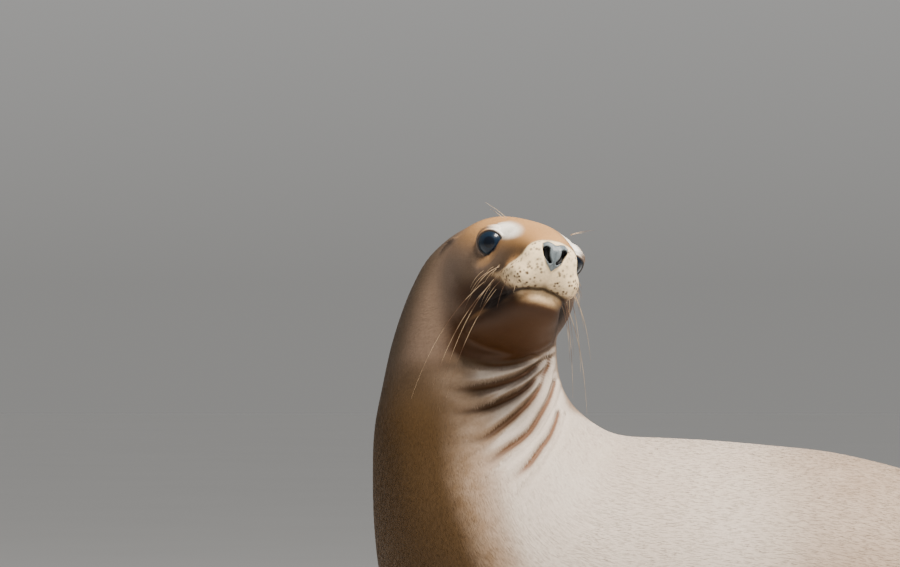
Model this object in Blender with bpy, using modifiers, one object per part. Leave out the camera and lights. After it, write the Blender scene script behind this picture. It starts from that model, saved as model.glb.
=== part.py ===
"""A life-size sea lion (a young female of about 1.6 m), sitting up on its fore flippers
with its head turned over its left shoulder.

The trunk, neck and tail are one loft along the spine, and the head, jaw and flippers are
lofts of their own. The flesh is joined and smoothed, parted by thin plane cuts, and
hollowed for the eyes, nose and ears. The flippers meet the trunk a hair's breadth off it.

Frame: metres, +Z up. The animal faces -X, so its left side is towards -Y.
"""

import math

import bmesh
import bpy
import numpy as np
from mathutils import Matrix, Vector

# Driving dimensions. The model is laid out from a point on the floor under the eyes,
# and moved to its own origin at the end.
GAP = 0.0003                 # between solids that meet
HEAD_POINT = (0.004, 0.0, 0.625)    # midway between the eyeballs
HEAD_YAW = math.radians(14.2)   # from facing -Y, towards +X
HEAD_PITCH = math.radians(12)   # nose up
HEAD_ROLL = math.radians(14)    # left eye lower than right
TRUNK_Y = 0.080              # the trunk's middle plane at the chest
PELVIS_Y = 0.035             # and at the hips
EYE_RADIUS = 0.0180
EYE_SPREAD = 0.0400          # each eyeball's centre from the head's middle plane
EYE_LOOK = math.radians(46)  # each eye, outwards from straight ahead
SOCKET_DEPTH = 0.0055
NOSE_PLACE = (0.0945, 0.0, -0.0185)
NOSE_SIZE = (0.0085, 0.0140, 0.0156)   # half depth, half width, half height
NOSTRIL_SPREAD = 0.0072
EAR_PLACE = (-0.070, 0.0640, 0.0060)

# The torso's rings, from the top of the neck, down and round the shoulders, to the tail.
# Back point x, z; front or belly point x, z; half width; sideways shift; fullness of the
# belly half of the ring.
TORSO_RINGS = (
    (-0.004, 0.604, -0.084, 0.608, 0.046, 0.018, 0.00),
    (0.020, 0.582, -0.1170, 0.594, 0.070, 0.022, 0.00),
    (0.030, 0.550, -0.131, 0.565, 0.084, 0.018, 0.00),
    (0.033, 0.520, -0.145, 0.520, 0.091, 0.012, 0.00),
    (0.034, 0.498, -0.153, 0.480, 0.097, 0.008, 0.00),
    (0.040, 0.478, -0.161, 0.440, 0.106, 0.004, 0.02),
    (0.052, 0.460, -0.1625, 0.385, 0.119, 0.002, 0.04),
    (0.066, 0.448, -0.160, 0.320, 0.134, 0.000, 0.06),
    (0.082, 0.4375, -0.146, 0.240, 0.147, 0.000, 0.08),
    (0.097, 0.4305, -0.108, 0.165, 0.156, 0.000, 0.08),
    (0.130, 0.4290, -0.035, 0.112, 0.162, 0.000, 0.08),
    (0.180, 0.4270, 0.070, 0.088, 0.166, 0.000, 0.07),
    (0.250, 0.4220, 0.190, 0.074, 0.168, -0.002, 0.06),
    (0.330, 0.4130, 0.290, 0.060, 0.169, -0.006, 0.05),
    (0.420, 0.3900, 0.375, 0.040, 0.170, -0.012, 0.05),
    (0.510, 0.3540, 0.455, 0.014, 0.168, -0.020, 0.06),
    (0.600, 0.3060, 0.535, -0.004, 0.162, -0.028, 0.07),
    (0.685, 0.2530, 0.615, -0.007, 0.149, -0.036, 0.08),
    (0.760, 0.2060, 0.692, -0.006, 0.135, -0.043, 0.06),
    (0.825, 0.1650, 0.765, -0.002, 0.116, -0.048, 0.04),
    (0.868, 0.1310, 0.825, 0.008, 0.088, -0.052, 0.00),
    (0.894, 0.1020, 0.868, 0.026, 0.052, -0.055, 0.00),
    (0.914, 0.0810, 0.894, 0.037, 0.028, -0.057, 0.00),
    (0.940, 0.0680, 0.925, 0.038, 0.018, -0.059, 0.00),
    (0.968, 0.0560, 0.956, 0.036, 0.012, -0.061, 0.00),
)
TAIL_TIP = (0.980, -0.062, 0.044)
NECK_TIP = (-0.043, 0.014, 0.616)

# The head's rings in its own frame, whose origin is midway between the eyeballs: forward,
# crown height, underside height, half width, squareness, sideways shift.
HEAD_RINGS = (
    (-0.145, 0.010, -0.060, 0.040, 2.0, -0.010),
    (-0.135, 0.026, -0.078, 0.054, 2.0, -0.009),
    (-0.118, 0.037, -0.094, 0.0630, 2.1, -0.006),
    (-0.095, 0.0440, -0.100, 0.0685, 2.3, -0.002),
    (-0.070, 0.0460, -0.100, 0.0700, 2.4, 0),
    (-0.045, 0.0435, -0.098, 0.0690, 2.5, 0),
    (-0.020, 0.0385, -0.092, 0.0645, 2.4, 0),
    (0.000, 0.0335, -0.084, 0.0570, 2.4, 0),
    (0.010, 0.0305, -0.079, 0.0530, 2.4, 0),
    (0.025, 0.0260, -0.072, 0.0465, 2.4, 0),
    (0.045, 0.0195, -0.065, 0.0400, 2.4, 0),
    (0.062, 0.0135, -0.059, 0.0355, 2.4, 0),
    (0.078, 0.0075, -0.053, 0.0315, 2.3, 0),
    (0.090, 0.0000, -0.046, 0.0290, 2.3, 0),
    (0.098, -0.006, -0.034, 0.0160, 2.2, 0),
)
NOSE_TIP = (0.1005, 0.0, -0.018)
NAPE_TIP = (-0.153, -0.010, -0.022)

JAW_RINGS = (
    (-0.045, -0.075, -0.106, 0.046, 2.0, 0),
    (-0.020, -0.070, -0.106, 0.050, 2.1, 0),
    (0.000, -0.065, -0.103, 0.047, 2.2, 0),
    (0.022, -0.060, -0.098, 0.041, 2.3, 0),
    (0.042, -0.054, -0.093, 0.0345, 2.3, 0),
    (0.060, -0.052, -0.088, 0.0295, 2.3, 0),
    (0.072, -0.054, -0.082, 0.0235, 2.2, 0),
    (0.079, -0.059, -0.075, 0.0150, 2.0, 0),
)
CHIN_TIP = (0.0825, 0.0, -0.0670)
JAW_HINGE_TIP = (-0.055, 0.0, -0.090)

# Rounded masses under the skin: centre, then half sizes. The head's are in its own frame,
# and each is made on both sides.
HEAD_MASSES = (
    ((0.062, 0.0225, -0.0405), (0.030, 0.0205, 0.0190)),    # whisker pad
    ((-0.004, 0.0320, 0.0085), (0.024, 0.0180, 0.0175)),   # brow
)
NAPE = ((-0.051, 0.106, 0.583), (0.068, 0.066, 0.057))    # where the neck bends to the head
BODY_MASSES = (
    ((0.060, 0.118, 0.230), (0.105, 0.050, 0.125)),        # shoulder, from the chest's middle
    ((0.745, 0.088, 0.088), (0.115, 0.052, 0.072)),        # thigh
)

# The flippers' stations on the left: x, distance from the middle plane, z, half chord,
# half thickness, and the tilt of the flat side from facing up to facing outwards.
FORE_FLIPPER = (
    (0.024, 0.085, 0.225, 0.078, 0.050, 80),
    (0.032, 0.140, 0.170, 0.070, 0.043, 75),
    (0.037, 0.185, 0.108, 0.058, 0.033, 65),
    (0.042, 0.216, 0.052, 0.056, 0.024, 48),
    (0.060, 0.250, 0.018, 0.063, 0.018, 15),
    (0.095, 0.305, 0.006, 0.066, 0.0135, 0),
    (0.140, 0.365, 0.0042, 0.058, 0.0100, 0),
    (0.185, 0.425, 0.0034, 0.041, 0.0080, 0),
    (0.213, 0.465, 0.0028, 0.023, 0.0060, 0),
)
FORE_TIP = (0.227, 0.485, 0.002)
HIND_FOOT = (
    (0.790, 0.050, 0.080, 0.046, 0.036, 70),
    (0.836, 0.095, 0.056, 0.040, 0.031, 60),
    (0.846, 0.132, 0.032, 0.037, 0.027, 30),
    (0.818, 0.162, 0.016, 0.039, 0.020, 5),
    (0.775, 0.184, 0.008, 0.044, 0.0135, 0),
    (0.720, 0.208, 0.005, 0.051, 0.0085, 0),
    (0.665, 0.232, 0.0035, 0.057, 0.0065, 0),
    (0.636, 0.245, 0.0028, 0.059, 0.0055, 0),
    (0.618, 0.253, 0.0022, 0.056, 0.0045, 0),
)
HIND_WEB_TIP = (0.606, 0.258, 0.0015)
TOE_ROOT = (0.805, 0.168, 0.010)
TOE_AIM = math.radians(24)   # the foot's line, outwards from straight ahead
TOE_LENGTH = 0.232           # of the middle toe; the outer toes are longer
TOE_EXTRA = 0.030
TOE_SPAN = 0.062             # half the spread of the toes at their ends
CLAW_AT = 0.186              # along the toe
CLAW_LENGTH = 0.019

# Cuts between the parts of the flesh: a point and the side that is kept.
HEAD_CUT = ((0.030, 0.0, 0.520), (0.10, 0.28, 1.0))
NECK_CUT = ((0.060, 0.0, 0.455), (-0.45, 0.0, 0.89))
TAIL_CUT = ((0.896, 0.0, 0.060), (0.93, 0.0, -0.37))
MOUTH = ((0.088, -0.0530), (-0.060, -0.0780))   # forward and up, front and back of the line

FORE_SIDES = ((1, "left"), (-1, "right"))


def clear_scene():
    """Removes whatever the startup file holds."""
    for obj in list(bpy.data.objects):
        bpy.data.objects.remove(obj, do_unlink=True)


def collection(name):
    made = bpy.data.collections.new(name)
    bpy.context.scene.collection.children.link(made)
    return made


def material(name, colour, roughness):
    made = bpy.data.materials.new(name)
    made.use_nodes = True
    made.diffuse_color = (*colour, 1.0)
    shader = made.node_tree.nodes["Principled BSDF"]
    shader.inputs["Base Color"].default_value = (*colour, 1.0)
    shader.inputs["Roughness"].default_value = roughness
    shader.inputs["Metallic"].default_value = 0.0
    return made


def between_stations(rows, count):
    """Rows of a table, interpolated to count rows by a spline that passes through each."""
    rows = np.array(rows, float)
    steps = np.linalg.norm(np.diff(rows[:, :4], axis=0), axis=1) ** 0.5
    knots = np.concatenate([[0.0], np.cumsum(steps)])
    slopes = np.gradient(rows, knots, axis=0)
    at = np.linspace(0.0, knots[-1], count)
    seg = np.clip(np.searchsorted(knots, at, side="right") - 1, 0, len(knots) - 2)
    width = (knots[seg + 1] - knots[seg])[:, None]
    t = (at - knots[seg])[:, None] / width
    return ((2 * t**3 - 3 * t**2 + 1) * rows[seg] + (t**3 - 2 * t**2 + t) * width * slopes[seg]
            + (3 * t**2 - 2 * t**3) * rows[seg + 1] + (t**3 - t**2) * width * slopes[seg + 1])


def new_object(name, mesh, place=None):
    """Links a mesh to the scene as an object, with its faces turned outwards."""
    bm = bmesh.new()
    bm.from_mesh(mesh)
    if place is not None:
        bmesh.ops.transform(bm, matrix=place, verts=bm.verts)
    bmesh.ops.recalc_face_normals(bm, faces=bm.faces)
    bm.to_mesh(mesh)
    bm.free()
    obj = bpy.data.objects.new(name, mesh)
    bpy.context.scene.collection.objects.link(obj)
    return obj


def loft(name, rings, first, last, place=None):
    """A closed body through rings of equal length, with a pole at each end."""
    count = len(rings[0])
    points = [Vector(first)] + [Vector(p) for ring in rings for p in ring] + [Vector(last)]
    end = 1 + (len(rings) - 1) * count
    faces = []
    for k in range(count):
        after = (k + 1) % count
        faces.append((0, 1 + after, 1 + k))
        faces.append((len(points) - 1, end + k, end + after))
        for r in range(len(rings) - 1):
            a, b = 1 + r * count, 1 + (r + 1) * count
            faces.append((a + k, a + after, b + after, b + k))
    mesh = bpy.data.meshes.new(name)
    mesh.from_pydata([tuple(p) for p in points], [], faces)
    return new_object(name, mesh, place)


def ball(name, centre, half_sizes, place=None, segments=24, rings=12):
    """An ellipsoid."""
    mesh = bpy.data.meshes.new(name)
    bm = bmesh.new()
    bmesh.ops.create_uvsphere(bm, u_segments=segments, v_segments=rings, radius=1.0)
    bm.to_mesh(mesh)
    bm.free()
    shape = Matrix.Translation(centre) @ Matrix.Diagonal((*half_sizes, 1.0))
    return new_object(name, mesh, shape if place is None else place @ shape)


def torso_loft(rings=90, sides=40):
    """Neck, trunk and tail. Each ring lies in the plane of its back and belly points."""
    turn = np.linspace(0, 2 * math.pi, sides, endpoint=False)
    made = []
    for back_x, back_z, front_x, front_z, width, shift, full in between_stations(TORSO_RINGS, rings):
        back = np.array([back_x, TRUNK_Y + shift, back_z])
        front = np.array([front_x, TRUNK_Y + shift, front_z])
        along = np.cos(turn)[:, None] * (back - front) / 2
        across = np.sin(turn) * width * (1 - full * np.cos(turn))
        made.append((back + front) / 2 + along + across[:, None] * np.array([0, 1, 0]))
    ends = [(x, TRUNK_Y + y, z) for x, y, z in (NECK_TIP, TAIL_TIP)]
    return loft("torso", made, *ends)


def head_loft(name, rows, count, sides, first, last):
    """A loft along the head's forward axis, from rows such as HEAD_RINGS."""
    turn = np.linspace(0, 2 * math.pi, sides, endpoint=False)
    made = []
    for forward, top, bottom, width, square, shift in between_stations(rows, count):
        c, s = np.cos(turn), np.sin(turn)
        up = np.sign(c) * np.abs(c) ** (2 / square) * (top - bottom) / 2 + (top + bottom) / 2
        left = np.sign(s) * np.abs(s) ** (2 / square) * width + shift
        made.append(np.stack([np.full(sides, forward), left, up], axis=1))
    return loft(name, made, first, last, head_place())


def head_place():
    """The head's own frame (forward, left, up) in the model's frame."""
    facing = Matrix(((math.sin(HEAD_YAW), math.cos(HEAD_YAW), 0),
                     (-math.cos(HEAD_YAW), math.sin(HEAD_YAW), 0),
                     (0, 0, 1)))
    pitch = Matrix.Rotation(-HEAD_PITCH, 3, "Y")
    roll = Matrix.Rotation(HEAD_ROLL, 3, "Y")
    return Matrix.Translation(HEAD_POINT) @ (roll @ facing @ pitch).to_4x4()


def limb_loft(name, rows, tip, side, middle, count, sides, scallop=0.0):
    """A flattened limb on one side of a middle plane. The leading edge is the thick one,
    and scallop waves the trailing edge."""
    rows = between_stations(rows, count)
    centres = np.stack([rows[:, 0], middle - side * rows[:, 1], rows[:, 2]], axis=1)
    tangents = np.gradient(centres, axis=0)
    turn = np.linspace(0, 2 * math.pi, sides, endpoint=False)
    made = []
    for k, (centre, tangent) in enumerate(zip(centres, tangents)):
        tangent = tangent / np.linalg.norm(tangent)
        tilt = math.radians(rows[k, 5])
        flat = np.array([0, -side * math.sin(tilt), math.cos(tilt)])
        chord = np.cross(tangent, flat) * side
        chord = chord / np.linalg.norm(chord)
        thick = np.cross(chord, tangent) * side
        c, s = np.cos(turn), np.sin(turn)
        wave = 1 + scallop * math.sin(k * 1.9) * np.clip(-c, 0, 1) ** 2
        across = rows[k, 3] * c * wave
        rise = rows[k, 4] * s * (1 + 0.3 * c)
        made.append(centre + across[:, None] * chord + rise[:, None] * thick)
    ends = [(x, middle - side * y, z) for x, y, z in (rows[0, :3], tip)]
    return loft(name, made, *ends)


def applied(obj, kind, **settings):
    """Applies one modifier to an object."""
    modifier = obj.modifiers.new(kind, kind)
    for name, value in settings.items():
        setattr(modifier, name, value)
    graph = bpy.context.evaluated_depsgraph_get()
    made = bpy.data.meshes.new_from_object(obj.evaluated_get(graph))
    obj.modifiers.clear()
    obj.data = made
    return obj


def joined(name, bodies, voxel, smoothing):
    """One closed skin over several overlapping bodies, with soft joins."""
    bm = bmesh.new()
    for body in bodies:
        bm.from_mesh(body.data)
        bpy.data.objects.remove(body, do_unlink=True)
    mesh = bpy.data.meshes.new(name)
    bm.to_mesh(mesh)
    bm.free()
    obj = new_object(name, mesh)
    applied(obj, "REMESH", mode="VOXEL", voxel_size=voxel)
    return applied(obj, "SMOOTH", factor=0.5, iterations=smoothing)


def copied(obj, name):
    made = bpy.data.objects.new(name, obj.data.copy())
    bpy.context.scene.collection.objects.link(made)
    return made


def grown(obj, by):
    """A copy of a body, larger all round."""
    made = copied(obj, obj.name + "_grown")
    bm = bmesh.new()
    bm.from_mesh(made.data)
    bm.normal_update()
    moved = [v.co + v.normal * by * max(v.calc_shell_factor(), 1.0) for v in bm.verts]
    for vert, place in zip(bm.verts, moved):
        vert.co = place
    bm.to_mesh(made.data)
    bm.free()
    return made


def cut_by_plane(obj, point, keep):
    """Cuts a body by a plane and caps it. The side that keep points to remains."""
    bm = bmesh.new()
    bm.from_mesh(obj.data)
    everything = bm.verts[:] + bm.edges[:] + bm.faces[:]
    done = bmesh.ops.bisect_plane(bm, geom=everything, dist=1e-7, plane_co=point, plane_no=keep,
                                  clear_inner=True)
    rim = [e for e in done["geom_cut"] if isinstance(e, bmesh.types.BMEdge)]
    bmesh.ops.triangle_fill(bm, use_beauty=True, edges=rim)
    bmesh.ops.recalc_face_normals(bm, faces=bm.faces)
    bm.to_mesh(obj.data)
    bm.free()
    return obj


def cut_by_body(obj, cutter, operation="DIFFERENCE"):
    """Cuts a body by another, which is used up."""
    applied(obj, "BOOLEAN", operation=operation, solver="EXACT", object=cutter)
    bpy.data.objects.remove(cutter, do_unlink=True)
    return obj


def shifted(cut, by):
    """A plane's point and side, moved along the side it keeps."""
    point, keep = Vector(cut[0]), Vector(cut[1]).normalized()
    return point + keep * by, keep


def hollowed(obj):
    """Presses the sockets in round the eyes."""
    into_head = head_place().inverted()
    out_of_head = head_place()
    for vert in obj.data.vertices:
        at = into_head @ vert.co
        if at.x < -0.05 or at.z > 0.06:
            continue
        for side in (1, -1):
            centre, look = eye_line(side)
            rim = centre + look * EYE_RADIUS
            near = (at - rim).length / 0.021
            at -= look * SOCKET_DEPTH * math.exp(-near * near)
        vert.co = out_of_head @ at
    return obj


def eye_line(side):
    """An eyeball's centre and the way it looks, in the head's frame."""
    look = Vector((math.cos(EYE_LOOK), side * math.sin(EYE_LOOK), 0.10)).normalized()
    return Vector((0, side * EYE_SPREAD, 0)), look


def finished(obj, name, slot, group):
    """Names a body, gives it its material and puts it in the model's collection."""
    obj.name = name
    obj.data.name = name
    obj.data.materials.clear()
    obj.data.materials.append(slot)
    for old in list(obj.users_collection):
        old.objects.unlink(obj)
    group.objects.link(obj)
    return obj


def wedge(grow=0.0):
    """The space the lower jaw fills: below the line of the mouth, in front of the hinge."""
    (front, front_up), (back, back_up) = MOUTH
    front_up, back_up, back = front_up + grow, back_up + grow, back - grow
    mesh = bpy.data.meshes.new("wedge")
    bm = bmesh.new()
    outline = ((0.13, front_up + (0.13 - front) * (front_up - back_up) / (front - back)),
               (back, back_up), (back + 0.02, -0.16), (0.13, -0.16))
    near = [bm.verts.new((x, -0.09, z)) for x, z in outline]
    far = [bm.verts.new((x, 0.09, z)) for x, z in outline]
    bm.faces.new(near)
    bm.faces.new(far)
    for k in range(4):
        bm.faces.new((near[k], near[k - 1], far[k - 1], far[k]))
    bm.to_mesh(mesh)
    bm.free()
    return new_object("wedge", mesh, head_place())


def eyeball(side, grow=0.0):
    centre, look = eye_line(side)
    radius = EYE_RADIUS + grow
    return ball("eye", centre, (radius, radius, radius), head_place(), 16, 10)


def nose_pad(grow=0.0):
    """The bare pad, broad above and drawn in below to the lip."""
    obj = ball("nose", (0, 0, 0), [s + grow for s in NOSE_SIZE], None, 16, 10)
    place = head_place() @ Matrix.Translation(NOSE_PLACE) @ Matrix.Rotation(math.radians(-14), 4, "Y")
    for vert in obj.data.vertices:
        low = max(0.0, -vert.co.z / NOSE_SIZE[2])
        vert.co.y *= 1 - 0.45 * low**1.5
        vert.co = place @ vert.co
    return obj


def nostril(side):
    place = (NOSE_PLACE[0] + 0.0075, side * NOSTRIL_SPREAD, NOSE_PLACE[2] - 0.001)
    lean = Matrix.Translation(place) @ Matrix.Rotation(side * math.radians(24), 4, "X")
    return ball("nostril", (0, 0, 0), (0.0060, 0.0026, 0.0062), head_place() @ lean, 12, 8)


def ear_leaf(side, grow=0.0):
    """The small rolled ear, lying back and down from its root."""
    rows = ((0.006, -0.004, 0.002, 0.0050, 0.0040), (0.000, 0.001, 0.000, 0.0055, 0.0040),
            (-0.008, 0.006, -0.003, 0.0062, 0.0036), (-0.016, 0.009, -0.008, 0.0052, 0.0028),
            (-0.022, 0.010, -0.013, 0.0030, 0.0020))
    turn = np.linspace(0, 2 * math.pi, 8, endpoint=False)
    made = []
    for x, y, z, wide, thick in between_stations(rows, 7):
        c, s = np.cos(turn), np.sin(turn)
        bend = 0.25 * wide * (1 - c**2)
        made.append(np.stack([EAR_PLACE[0] + x + (wide + grow) * c * 0.5,
                              side * (EAR_PLACE[1] + y - bend + (thick + grow) * s),
                              EAR_PLACE[2] + z + (wide + grow) * c * 0.87], axis=1))
    ends = [(EAR_PLACE[0] + x, side * (EAR_PLACE[1] + y), EAR_PLACE[2] + z)
            for x, y, z in ((0.008, -0.006, 0.003), (-0.0245, 0.0100, -0.0150))]
    return loft("ear", made, *ends, head_place())


def toe_line(side, spread):
    """A toe's root, its direction along the floor, and its length."""
    aim = np.array([-math.cos(TOE_AIM), -side * math.sin(TOE_AIM), 0])
    across = np.array([math.sin(TOE_AIM), -side * math.cos(TOE_AIM), 0])
    x, y, z = TOE_ROOT
    root = np.array([x, PELVIS_Y - side * y, z]) + across * spread * 0.026
    length = TOE_LENGTH + TOE_EXTRA * spread * spread
    end = root + aim * length + across * spread * (TOE_SPAN - 0.026)
    return root, (end - root) / np.linalg.norm(end - root), length


def toe(side, spread):
    """A toe and the flap of skin beyond its end, flat on the floor."""
    root, along, length = toe_line(side, spread)
    broad = np.cross((0, 0, 1), along)
    turn = np.linspace(0, 2 * math.pi, 12, endpoint=False)
    made = []
    for part, wide, thick, rise in ((0.03, 0.010, 0.0110, 0.009), (0.30, 0.0120, 0.0105, 0.006),
                                    (0.60, 0.0125, 0.0090, 0.004), (0.78, 0.0125, 0.0075, 0.0030),
                                    (0.92, 0.0115, 0.0055, 0.0025), (0.98, 0.0070, 0.0040, 0.0020)):
        centre = root + along * length * part
        centre[2] = rise
        wide = wide * (1 + 0.25 * spread * spread)
        made.append(centre + np.cos(turn)[:, None] * wide * broad
                    + np.sin(turn)[:, None] * thick * np.array([0, 0, 1]))
    tip = root + along * length
    tip[2] = 0.0020
    start = root.copy()
    return loft("toe", made, start, tip)


def claw(side, spread):
    """A short nail on top of a toe, well back from the edge of its flap."""
    root, along, length = toe_line(side, spread)
    broad = np.cross((0, 0, 1), along)
    turn = np.linspace(0, 2 * math.pi, 6, endpoint=False)
    made = []
    for part, wide, thick, rise in ((0.00, 0.0034, 0.0022, 0.0085), (0.35, 0.0036, 0.0026, 0.0110),
                                    (0.70, 0.0026, 0.0020, 0.0118), (0.92, 0.0012, 0.0010, 0.0112)):
        centre = root + along * (CLAW_AT + CLAW_LENGTH * part)
        centre[2] = rise
        made.append(centre + np.cos(turn)[:, None] * wide * broad
                    + np.sin(turn)[:, None] * thick * np.array([0, 0, 1]))
    ends = [root + along * (CLAW_AT + CLAW_LENGTH * part) for part in (-0.15, 1.0)]
    ends[0][2], ends[1][2] = 0.0060, 0.0104
    return loft("claw", made, *ends)


clear_scene()
model = collection("sea_lion")
coat = material("coat", (0.42, 0.28, 0.15), 0.75)
flipper_skin = material("flipper_skin", (0.09, 0.06, 0.045), 0.60)
eye_surface = material("eye", (0.012, 0.012, 0.014), 0.06)
nose_skin = material("nose_skin", (0.05, 0.052, 0.058), 0.35)
claw_horn = material("claw", (0.10, 0.075, 0.055), 0.40)

# The flesh of the head, neck, trunk and tail, first as one skin, then parted.
bodies = [torso_loft(),
          head_loft("head", HEAD_RINGS, 44, 40, NAPE_TIP, NOSE_TIP),
          head_loft("jaw", JAW_RINGS, 24, 32, JAW_HINGE_TIP, CHIN_TIP)]
bodies.append(ball("mass", *NAPE))
for (x, y, z), sizes in HEAD_MASSES:
    bodies += [ball("mass", (x, side * y, z), sizes, head_place()) for side in (1, -1)]
for ((x, y, z), sizes), middle in zip(BODY_MASSES, (TRUNK_Y, PELVIS_Y)):
    bodies += [ball("mass", (x, middle - side * y, z), sizes) for side in (1, -1)]
body = joined("body", bodies, 0.0035, 14)

head = applied(hollowed(copied(body, "head")), "DECIMATE", ratio=0.027)
head = cut_by_plane(head, *shifted(HEAD_CUT, GAP / 2))
applied(body, "DECIMATE", ratio=0.0072)
neck = copied(body, "neck")
cut_by_plane(neck, *shifted((HEAD_CUT[0], -Vector(HEAD_CUT[1])), GAP / 2))
cut_by_plane(neck, *shifted(NECK_CUT, GAP / 2))
tail = cut_by_plane(copied(body, "tail"), *shifted(TAIL_CUT, GAP / 2))
trunk = cut_by_plane(body, *shifted((NECK_CUT[0], -Vector(NECK_CUT[1])), GAP / 2))
cut_by_plane(trunk, *shifted((TAIL_CUT[0], -Vector(TAIL_CUT[1])), GAP / 2))
cut_by_plane(trunk, (0, 0, 0), (0, 0, 1))

# The lower jaw is the part of the head below the mouth. Nose, ears and eyes sit in the head.
jaw = cut_by_body(copied(head, "jaw"), wedge(), "INTERSECT")
cut_by_body(head, wedge(GAP))
nose = nose_pad()
for side in (1, -1):
    cut_by_body(nose, nostril(side))
cut_by_body(head, nose_pad(GAP))
for obj, name, slot in ((head, "head", coat), (jaw, "jaw", coat), (nose, "nose", nose_skin),
                        (neck, "neck", coat), (trunk, "trunk", coat), (tail, "tail", coat)):
    finished(obj, name, slot, model)

for side, word in FORE_SIDES:
    cut_by_body(head, eyeball(side, GAP))
    finished(eyeball(side), "eye_" + word, eye_surface, model)
for side, word in FORE_SIDES:
    ear = cut_by_body(ear_leaf(side), grown(head, GAP))
    finished(ear, "ear_" + word, coat, model)

# The flippers rest flat on the floor.
for side, word in FORE_SIDES:
    fore = limb_loft("fore", FORE_FLIPPER, FORE_TIP, side, TRUNK_Y, 20, 12, 0.06)
    cut_by_plane(fore, (0, 0, 0), (0, 0, 1))
    finished(cut_by_body(fore, grown(trunk, GAP)), "fore_flipper_" + word, flipper_skin, model)

    toes = [toe(side, spread) for spread in (-1, -0.5, 0, 0.5, 1)]
    foot = limb_loft("foot", HIND_FOOT, HIND_WEB_TIP, side, PELVIS_Y, 20, 16)
    hind = applied(joined("hind", toes + [foot], 0.0022, 3), "DECIMATE", ratio=0.0115)
    cut_by_plane(hind, (0, 0, 0), (0, 0, 1))
    cut_by_body(hind, grown(trunk, GAP))
    finished(hind, "hind_flipper_" + word, flipper_skin, model)
    for number, spread in enumerate((-0.5, 0, 0.5), 1):
        nail = cut_by_body(claw(side, spread), grown(hind, GAP))
        finished(nail, f"claw_{word}_{number}", claw_horn, model)

# Everything is moved so that the origin is on the floor, under the middle of the model.
corners = np.array([obj.matrix_world @ Vector(corner)
                    for obj in model.objects for corner in obj.bound_box])
low, high = corners.min(axis=0), corners.max(axis=0)
SHIFT = Vector((-(low[0] + high[0]) / 2, -(low[1] + high[1]) / 2, -low[2]))
for obj in model.objects:
    obj.data.transform(Matrix.Translation(SHIFT))
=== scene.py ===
"""The looks of a life-size sea lion: one hide over the whole body, wet eyes, claws, a short
flat coat and whiskers, on a plain floor.

Frame: metres, +Z up. The animal faces -X, so its left side is towards -Y, where the head
looks. In the head's own frame the axes are forward, left and up from midway between the eyes.
"""

import math

import bmesh
import bpy
import numpy as np
from mathutils import Matrix, Vector
from mathutils.bvhtree import BVHTree


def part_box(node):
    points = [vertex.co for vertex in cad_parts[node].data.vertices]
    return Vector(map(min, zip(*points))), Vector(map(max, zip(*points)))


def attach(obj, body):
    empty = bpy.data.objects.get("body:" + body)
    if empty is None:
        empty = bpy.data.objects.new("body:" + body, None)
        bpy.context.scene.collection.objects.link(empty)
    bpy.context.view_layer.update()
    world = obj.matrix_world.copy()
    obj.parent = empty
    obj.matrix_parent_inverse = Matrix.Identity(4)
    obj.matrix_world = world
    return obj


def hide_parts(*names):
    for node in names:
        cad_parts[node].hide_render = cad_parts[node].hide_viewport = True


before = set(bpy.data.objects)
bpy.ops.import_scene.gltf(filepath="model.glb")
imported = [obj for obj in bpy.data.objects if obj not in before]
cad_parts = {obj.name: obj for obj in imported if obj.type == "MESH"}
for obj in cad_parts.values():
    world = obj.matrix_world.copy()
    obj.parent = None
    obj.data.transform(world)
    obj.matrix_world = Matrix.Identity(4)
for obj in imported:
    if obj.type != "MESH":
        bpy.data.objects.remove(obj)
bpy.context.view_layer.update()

# --- Hide: the body's shape ---------------------------------------------------------------
# The hide is one unbroken surface from nose to tail and out to the flippers' edges. It is
# drawn over rounded bodies set out as on the solids, then eased where they run together.
HEAD_POINT = (0.004, 0.0, 0.625)      # midway between the eyes, from the floor below them
HEAD_YAW = math.radians(14.2)
HEAD_PITCH = math.radians(12)
HEAD_ROLL = math.radians(14)
TRUNK_Y = 0.080
PELVIS_Y = 0.035
COAT_DEPTH = 0.0014

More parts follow.
